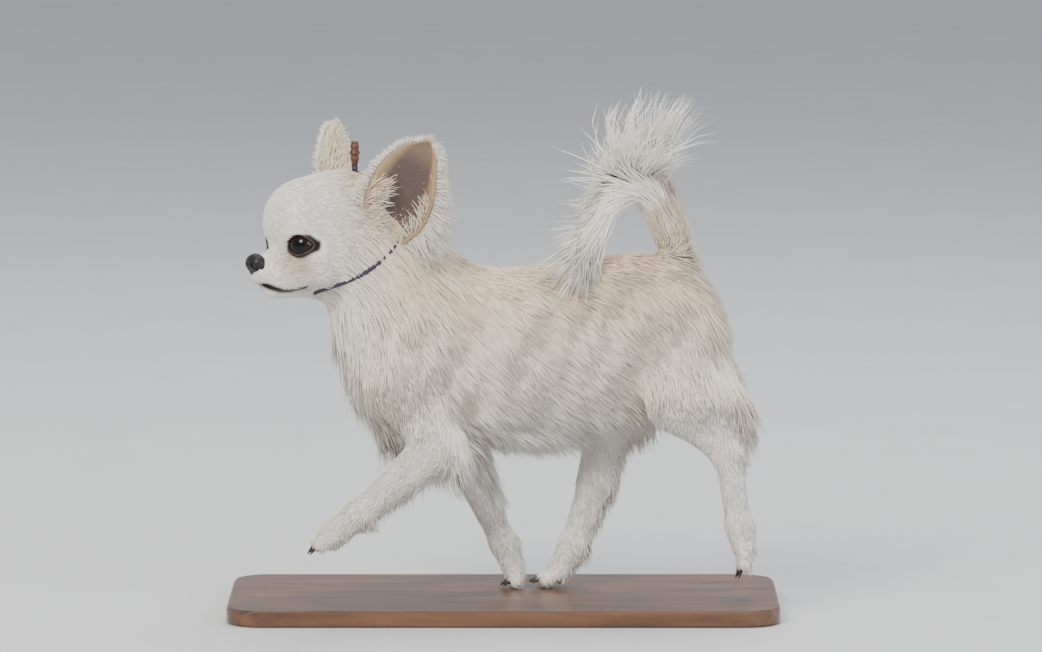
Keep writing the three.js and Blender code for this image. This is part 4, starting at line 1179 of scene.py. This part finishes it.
# Eyes, lids, nose and claws
def close_sphere(rows, columns):
    """Faces of a grid of rows by columns that wraps round, with a pole before it and one after."""
    quads = ring_faces(rows, columns)[:-columns]
    k = np.arange(columns)
    first, last = rows * columns, rows * columns + 1
    start = np.stack([np.full(columns, first), (k + 1) % columns, k], -1)
    base = (rows - 1) * columns
    stop = np.stack([np.full(columns, last), base + k, base + (k + 1) % columns], -1)
    tri = np.concatenate([start, stop])
    return np.concatenate([quads[:, [0, 1, 2]], quads[:, [0, 2, 3]], tri])


def tangents(line):
    """The way along a closed line at each of its places, from the place before to the one after."""
    return unit(np.roll(line, -1, 0) - np.roll(line, 1, 0))


def outward_faces(faces, points, inside):
    """The faces, all turned so that the first one looks away from a point inside."""
    quad = points[faces[0]]
    away = np.cross(quad[1] - quad[0], quad[3] - quad[0]) @ (quad[0] - inside) > 0
    return faces if away else faces[:, ::-1]


# The pupil, and round it the iris, its dark rim and the white, each fading in between two angles
PUPIL = colour("#050404")
EYE_RINGS = (
    (colour("#24120A"), 0.42, 0.5),
    (colour("#0C0807"), 0.8, 0.88),
    (colour("#4A3A32"), 0.98, 1.1),
)


def make_eye(side, s, material):
    """An eyeball of revolution about its gaze: a sphere with a cornea that bulges by 0.55 mm, coloured in
    rings from the pupil out by the angle from its gaze."""
    forward, along, high = gaze(s)
    rows, columns = 46, 64
    angle = np.linspace(0, np.pi, rows + 2)[1:-1]
    turn = np.linspace(0, 2 * np.pi, columns, endpoint=False)
    radius = EYE_RADIUS - EYE_SUNK + CORNEA_BULGE * np.exp(-((angle / CORNEA_ANGLE) ** 4))
    a, phi, r = (g[..., None] for g in np.broadcast_arrays(angle[:, None], turn[None], radius[:, None]))
    ring = along * np.cos(phi) + high * np.sin(phi)
    points = (EYES[side] + (forward * np.cos(a) + ring * np.sin(a)) * r).reshape(-1, 3)
    poles = np.stack([EYES[side] + forward * radius[0], EYES[side] - forward * radius[-1]])
    all_angle = np.concatenate([a.ravel(), [0, np.pi]])[:, None]
    tone = PUPIL
    for ring_tone, start, stop in EYE_RINGS:
        tone = mix(tone, ring_tone, ramp(all_angle, start, stop))
    faces = close_sphere(rows, columns)[:, ::-1]
    points = np.vstack([points, poles])
    mesh_piece(f"eyeball_{side}", points, faces, material, (f"eye_{side}",), tone)


def make_lids(side, s, material):
    """The lids' dark rims: a thin roll carried round an almond on the eyeball, sharper at both corners,
    its section flattened against the ball and widest along the upper lid."""
    forward, along, high = gaze(s)
    turn = np.linspace(0, 2 * np.pi, LID_RINGS, endpoint=False)
    tall = np.where(np.sin(turn) > 0, LID_UPPER, LID_LOWER)
    a = LID_WIDE * np.cos(turn)
    b = tall * np.sin(turn) * (1 - LID_PINCH * np.cos(turn) ** 2)
    ahead = np.sqrt(np.maximum(1 - a * a - b * b, 0.02))
    ray = unit(forward * ahead[:, None] + along * a[:, None] + high * b[:, None])
    centre = EYES[side] + ray * (EYE_RADIUS + 0.15)
    tangent = tangents(centre)
    outward = unit(np.cross(tangent, ray))
    outward = outward * np.sign((outward * (centre - centre.mean(0))).sum(1, keepdims=True))
    section = np.linspace(0, 2 * np.pi, LID_SIDES, endpoint=False)
    thick = 0.75 + 0.25 * ramp(np.sin(turn), 0, 1)
    points = (
        centre[:, None]
        + outward[:, None] * (np.cos(section)[None, :, None] * ROLL_WIDE * thick[:, None, None] + 0.7)
        + ray[:, None] * (np.sin(section)[None, :, None] * ROLL_HIGH * thick[:, None, None] + 0.45)
    )
    points = points.reshape(-1, 3)
    faces = outward_faces(ring_faces(LID_RINGS, LID_SIDES), points, centre[0])
    mesh_piece(f"lids_{side}", points, faces, material)


NOSE_REACH = 10
NOSE_STEP = 0.36


def nose_field(p):
    """The nose leather: a broad rounded bar over a narrower lower one, with the philtrum's groove between
    its halves and a comma-shaped nostril cut into each."""
    h = to_head(p)
    l = np.abs(h[..., 1])
    q = np.stack([h[..., 0], l, h[..., 2]], -1)

    def blob(a, b, r):
        return np.linalg.norm(on_span(q, vec(*a), vec(*b))[1], axis=-1) - r

    bar, lower = blob((53.2, 0, -22.6), (53.2, 3.2, -23), 4.9), blob((53.6, 0, -22), (53.2, 0, -28.2), 3.6)
    d = smooth_min(smooth_min(bar, lower, 3), blob((54.5, 3.6, -25), (51.5, 6, -25.5), 2.2), 2)
    groove = 0.7 * np.exp(-((l / 0.55) ** 2)) * ramp(-h[..., 2], 21.5, 24.5)
    round_hole = blob((58.6, 3.3, -23.6), (55, 3.9, -24.2), 1.25)
    slit = blob((57, 4.4, -24.8), (54, 7.5, -26.4), 0.6)
    return np.maximum(d + groove, -np.minimum(round_hole, slit))


def make_nose(material):
    """The nose leather's surface, moved once onto the zero of its distance."""
    axes = [np.arange(c - NOSE_REACH, c + NOSE_REACH, NOSE_STEP) for c in on_head(53, 0, -24.5)]
    points, faces = surface_net(nose_field, axes)
    points = points - np.clip(nose_field(points), -0.3, 0.3)[:, None] * slope(points, nose_field, 0.15)
    mesh_piece("nose_leather", points, faces, material, ("nose",))


CLAW_LONG = 6.2
CLAW_RADIUS = 1.35
CLAW_TIP = 0.12


def make_claws(material):
    """Claws: cones whose axis bends down as the square of the way along it, one from each toe."""
    rings, sides = 7, 10
    t = np.linspace(0, 1, rings)[:-1]
    turn = np.linspace(0, 2 * np.pi, sides, endpoint=False)
    points, faces, start = [], [], 0
    for paw, (_, _, _, way) in PAWS.items():
        way = unit(vec(*way))
        for limb in toe_limbs(paw):
            end = np.asarray(limb[1]) + way * 2.4 + vec(0, 0, 0.8)
            down = UP * (-1.2 if paw == "fore_left" else -1.6)
            centre = end + way * (t * CLAW_LONG)[:, None] + down * (t**2)[:, None]
            high = unit(np.cross(way, SIDEWAYS))
            ring = (np.cos(turn)[:, None] * SIDEWAYS * 0.8 + np.sin(turn)[:, None] * high)[None]
            shell = centre[:, None] + ring * (CLAW_RADIUS * (1 - t) ** 0.7 + CLAW_TIP)[:, None, None]
            tip = end + way * (CLAW_LONG + 0.2) + down
            points += [shell.reshape(-1, 3), np.stack([end - way, tip])]
            faces.append(close_sphere(rings - 1, sides) + start)
            start += (rings - 1) * sides + 2
    points = np.vstack(points)
    points[:, 2] = np.maximum(points[:, 2], CLAW_LEVEL)
    mesh_piece("claws", points, np.vstack(faces), material)


# The collar: a cord round the neck, half sunk in the undercoat, and a toggle behind the crown
CORD_RINGS = 320
CORD_SIDES = 18
CORD_RADIUS = 1.3
CORD_FLAT = 0.8
CORD_TWISTS = 26
CORD_LEVEL = 0.6
CAST_REACH = 70.0
CAST_STEPS = 24
STRAND_HIGH = 0.14
TOGGLE_RADIUS = 3.2
TOGGLE_CORDS = {"toggle_cord_front": -0.9, "toggle_cord_rear": 0.9}
TOGGLE_CORD_RADIUS = 0.85
# Where rays start inside the neck, and the way each one goes to the skin, from nape to throat
COLLAR_WAYS = [
    ((-89, -4, 230), (0, 0, 1)),
    ((-76, -4, 226), (0.55, -0.55, 0.6)),
    ((-74, -4, 214), (0.5, -0.85, 0.2)),
    ((-72, -4, 207), (0.1, -1, 0)),
    ((-76, -4, 198), (-0.35, -0.95, -0.1)),
    ((-84, -4, 192), (-0.8, -0.6, -0.2)),
    ((-86, -5, 190), (-1, 0, -0.3)),
]


def cast(start, way, level):
    """The place on a ray where the skin is level away, by halving the stretch that holds it."""
    low, high = 0.0, CAST_REACH
    for _ in range(CAST_STEPS):
        middle = (low + high) / 2
        if body((start + way * middle)[None])[0] < level:
            low = middle
        else:
            high = middle
    return start + way * low


def collar_line(samples):
    """A closed smooth line through the collar's places: a Catmull-Rom curve."""
    half = [cast(vec(*a), unit(vec(*w)), CORD_LEVEL) for a, w in COLLAR_WAYS]
    mirrored = [(vec(*a), unit(vec(x, -y, z))) for a, (x, y, z) in COLLAR_WAYS[-2:0:-1]]
    p = np.array(half + [cast(a, way, CORD_LEVEL) for a, way in mirrored])
    t = np.linspace(0, len(p), samples, endpoint=False)
    i = t.astype(int)
    f = (t - i)[:, None]
    a, b, c, d = (p[(i + k) % len(p)] for k in (-1, 0, 1, 2))
    bend, twist = 2 * a - 5 * b + 4 * c - d, 3 * b - a - 3 * c + d
    return 0.5 * (2 * b + (c - a) * f + bend * f**2 + twist * f**3)


def make_collar(webbing, toggle):
    """The collar is a cord of 2.8 mm, slightly flat, with a twisted surface of three strands."""
    line = collar_line(CORD_RINGS)
    tangent = tangents(line)
    middle = line.mean(0)
    outward = unit(line - middle - ((line - middle) * tangent).sum(1, keepdims=True) * tangent)
    across = np.cross(tangent, outward)
    turn = np.linspace(0, 2 * np.pi, CORD_SIDES, endpoint=False)
    twist = np.arange(CORD_RINGS) * 2 * np.pi * CORD_TWISTS / CORD_RINGS
    radius = CORD_RADIUS + STRAND_HIGH * np.abs(np.sin(1.5 * (turn[None] + twist[:, None])))
    deep, wide = (CORD_FLAT * np.cos(turn))[None, :, None], np.sin(turn)[None, :, None]
    ring = outward[:, None] * deep + across[:, None] * wide
    points = (line[:, None] + ring * radius[..., None]).reshape(-1, 3)
    faces = outward_faces(ring_faces(CORD_RINGS, CORD_SIDES), points, line[0])
    mesh_piece("collar_cord", points, faces, webbing, ("collar",))
    make_toggle_cords(line[0] - UP, turn, webbing)
    make_toggle(toggle)


def toggle_place():
    """The toggle's middle and its length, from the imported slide."""
    low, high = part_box("collar_slide")
    centre = (np.array(low) + np.array(high)) / 2 / MM - vec(0, 0, GROUND)
    long = (high[2] - low[2]) / MM
    return centre, long


def make_toggle_cords(foot, turn, webbing):
    """Two short straight cords from the collar up through the toggle."""
    centre, long = toggle_place()
    top = centre + UP * long / 2
    rings = 9
    steps = np.linspace(0, 1, rings)[:, None, None]
    ring = np.stack([np.cos(turn), np.sin(turn), 0 * turn], -1)[None] * TOGGLE_CORD_RADIUS
    for name, shift in TOGGLE_CORDS.items():
        place = vec(shift, 0, 0)
        shell = (foot + place) * (1 - steps) + (top - UP * 0.6 + place) * steps + ring
        poles = np.stack([foot + place - UP * 0.3, top - UP * 0.4 + place])
        shell = np.vstack([shell.reshape(-1, 3), poles])
        mesh_piece(name, shell, close_sphere(rings, CORD_SIDES), webbing)


def make_toggle(material):
    """A turned toggle of two lobes: its outline is a rounded bar times the waves of its waist and rims."""
    centre, long = toggle_place()
    rows, columns = 58, 40
    z = np.linspace(0, 1, rows + 2)[1:-1]
    lobes = 0.78 + 0.22 * np.cos(4 * np.pi * z + np.pi) ** 2
    waist = 0.8 + 0.2 * np.abs(np.cos(2 * np.pi * z))
    outline = np.sqrt(np.maximum(1 - (2 * z - 1) ** 6, 0)) * lobes * waist
    turn = np.linspace(0, 2 * np.pi, columns, endpoint=False)
    a, phi = np.meshgrid(z, turn, indexing="ij")
    radius = np.repeat(outline[:, None], columns, 1) * TOGGLE_RADIUS
    shell = np.stack([np.cos(phi) * radius, np.sin(phi) * radius, (a - 0.5) * long], -1).reshape(-1, 3)
    poles = vec(0, 0, long / 2) * np.array([[-1], [1]])
    points, faces = centre + np.vstack([shell, poles]), close_sphere(rows, columns)
    mesh_piece("collar_toggle", points, faces, material, ("collar_slide",))


# What a user may change
class CHIHUAHUA_PG_look(bpy.types.PropertyGroup):
    hair_shine: bpy.props.FloatProperty(
        name="Hair roughness",
        description="Roughness of the coat's hair",
        default=HAIR_ROUGHNESS,
        min=0,
        max=1,
    )
    floor_size: bpy.props.FloatProperty(
        name="Floor size", description="Length of the studio floor's sides", default=12.0, unit="LENGTH"
    )
    light_strength: bpy.props.FloatProperty(
        name="Light strength", description="Factor on all studio lights", default=1.0, min=0
    )


def look():
    """The user's settings."""
    return bpy.context.scene.chihuahua_look


class CHIHUAHUA_OT_skin(bpy.types.Operator):
    """Make the one skin of head, body, legs and tail"""

    bl_idname = "chihuahua.skin"
    bl_label = "Skin"

    def execute(self, context):
        make_skin(make_material("dog_short_coat"))
        return {"FINISHED"}


class CHIHUAHUA_OT_coat(bpy.types.Operator):
    """Grow the coat's tufts over the skin"""

    bl_idname = "chihuahua.coat"
    bl_label = "Coat"

    def execute(self, context):
        hair = make_material("dog_hair_cream")
        hair.node_tree.nodes["Principled BSDF"].inputs["Roughness"].default_value = look().hair_shine
        made["hair"] = hair
        make_coat(hair)
        return {"FINISHED"}


class CHIHUAHUA_OT_ears(bpy.types.Operator):
    """Make both ears with their hair"""

    bl_idname = "chihuahua.ears"
    bl_label = "Ears"

    def execute(self, context):
        for side, s in SIDES.items():
            make_ear(side, s, bpy.data.materials["dog_short_coat"], made["hair"])
        return {"FINISHED"}


class CHIHUAHUA_OT_face(bpy.types.Operator):
    """Make the eyes, their lids and the nose"""

    bl_idname = "chihuahua.face"
    bl_label = "Eyes and nose"

    def execute(self, context):
        eye, lid = make_material("wet_eye"), make_material("lid_skin")
        for side, s in SIDES.items():
            make_eye(side, s, eye)
            make_lids(side, s, lid)
        make_nose(make_material("nose_leather"))
        return {"FINISHED"}


class CHIHUAHUA_OT_claws(bpy.types.Operator):
    """Make the claws"""

    bl_idname = "chihuahua.claws"
    bl_label = "Claws"

    def execute(self, context):
        make_claws(make_material("claw_horn"))
        return {"FINISHED"}


class CHIHUAHUA_OT_collar(bpy.types.Operator):
    """Make the collar and its toggle"""

    bl_idname = "chihuahua.collar"
    bl_label = "Collar"

    def execute(self, context):
        make_collar(make_material("woven_nylon_cord"), make_material("moulded_acetal"))
        return {"FINISHED"}


class CHIHUAHUA_OT_base(bpy.types.Operator):
    """Finish the wooden base"""

    bl_idname = "chihuahua.base"
    bl_label = "Base"

    def execute(self, context):
        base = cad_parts["stand_base"]
        base.data.materials.clear()
        base.data.materials.append(make_material("stained_oak"))
        return {"FINISHED"}


def aim(thing, target):
    """Turns a light or camera so that it looks at target."""
    thing.rotation_euler = (Vector(target) - thing.location).to_track_quat("-Z", "Y").to_euler()


# Each light: its place and diameter in metres, its watts and its tone
LIGHTS = {
    "key_softbox": ((-1.3, -2.2, 2.2), 1.6, 106, "#FFF6EA"),
    "fill_softbox": ((2.0, -1.8, 1.2), 1.8, 40, "#EEF4FF"),
    "top_softbox": ((0.2, 0.9, 2.4), 1.4, 44, "#FFFFFF"),
}
CAMERA_RISE = np.radians(6.5)
CAMERA_AWAY = 4.0
CAMERA_AIM = (0.0105, 0.0, 0.1718)
CAMERA_SENSOR = 36
CAMERA_LENS = 230
LIGHT_AIM = (0, 0, 0.15)
SKY_STRENGTH = 0.75


class CHIHUAHUA_OT_stage(bpy.types.Operator):
    """Make the floor, the soft lights and the camera"""

    bl_idname = "chihuahua.stage"
    bl_label = "Stage"

    def execute(self, context):
        scene = context.scene
        half = look().floor_size / 2
        mesh = bpy.data.meshes.new("studio_floor")
        corners = [(-half, -half, 0), (half, -half, 0), (half, half, 0), (-half, half, 0)]
        mesh.from_pydata(corners, [], [(0, 1, 2, 3)])
        mesh.materials.append(make_material("pale_studio_floor"))
        floor = bpy.data.objects.new("studio_floor", mesh)
        scene.collection.objects.link(floor)
        for name, (place, size, power, tone) in LIGHTS.items():
            light = bpy.data.lights.new(name, "AREA")
            light.shape = "DISK"
            light.size = size
            light.energy = power * look().light_strength
            light.color = colour(tone)
            lamp = bpy.data.objects.new(name, light)
            lamp.location = place
            aim(lamp, LIGHT_AIM)
            scene.collection.objects.link(lamp)
        world = bpy.data.worlds.new("studio_air")
        world.use_nodes = True
        sky = world.node_tree.nodes["Background"].inputs
        sky["Color"].default_value = rgba(colour("#DCE3EA"))
        sky["Strength"].default_value = SKY_STRENGTH
        scene.world = world
        lens = bpy.data.cameras.new("camera")
        lens.sensor_width = CAMERA_SENSOR
        lens.lens = CAMERA_LENS
        camera = bpy.data.objects.new("camera", lens)
        away = CAMERA_AWAY * vec(0, -np.cos(CAMERA_RISE), np.sin(CAMERA_RISE))
        camera.location = vec(*CAMERA_AIM) + away
        aim(camera, CAMERA_AIM)
        scene.collection.objects.link(camera)
        scene.camera = camera
        return {"FINISHED"}


class CHIHUAHUA_PT_panel(bpy.types.Panel):
    """Lists the steps that build the model"""

    bl_idname = "CHIHUAHUA_PT_panel"
    bl_label = "Chihuahua"
    bl_space_type = "VIEW_3D"
    bl_region_type = "UI"
    bl_category = "Chihuahua"

    def draw(self, context):
        for name in ("hair_shine", "floor_size", "light_strength"):
            self.layout.prop(look(), name)
        for operator in OPERATORS:
            self.layout.operator(operator.bl_idname)


OPERATORS = (
    CHIHUAHUA_OT_stage,
    CHIHUAHUA_OT_skin,
    CHIHUAHUA_OT_coat,
    CHIHUAHUA_OT_ears,
    CHIHUAHUA_OT_face,
    CHIHUAHUA_OT_claws,
    CHIHUAHUA_OT_collar,
    CHIHUAHUA_OT_base,
)
CLASSES = (CHIHUAHUA_PG_look, *OPERATORS, CHIHUAHUA_PT_panel)


def register():
    for cls in CLASSES:
        bpy.utils.register_class(cls)
    bpy.types.Scene.chihuahua_look = bpy.props.PointerProperty(type=CHIHUAHUA_PG_look)


def unregister():
    del bpy.types.Scene.chihuahua_look
    for cls in reversed(CLASSES):
        bpy.utils.unregister_class(cls)


def main():
    register()
    bpy.ops.chihuahua.stage()
    bpy.ops.chihuahua.skin()
    bpy.ops.chihuahua.coat()
    bpy.ops.chihuahua.ears()
    bpy.ops.chihuahua.face()
    bpy.ops.chihuahua.claws()
    bpy.ops.chihuahua.collar()
    bpy.ops.chihuahua.base()


if __name__ == "__main__":
    main()
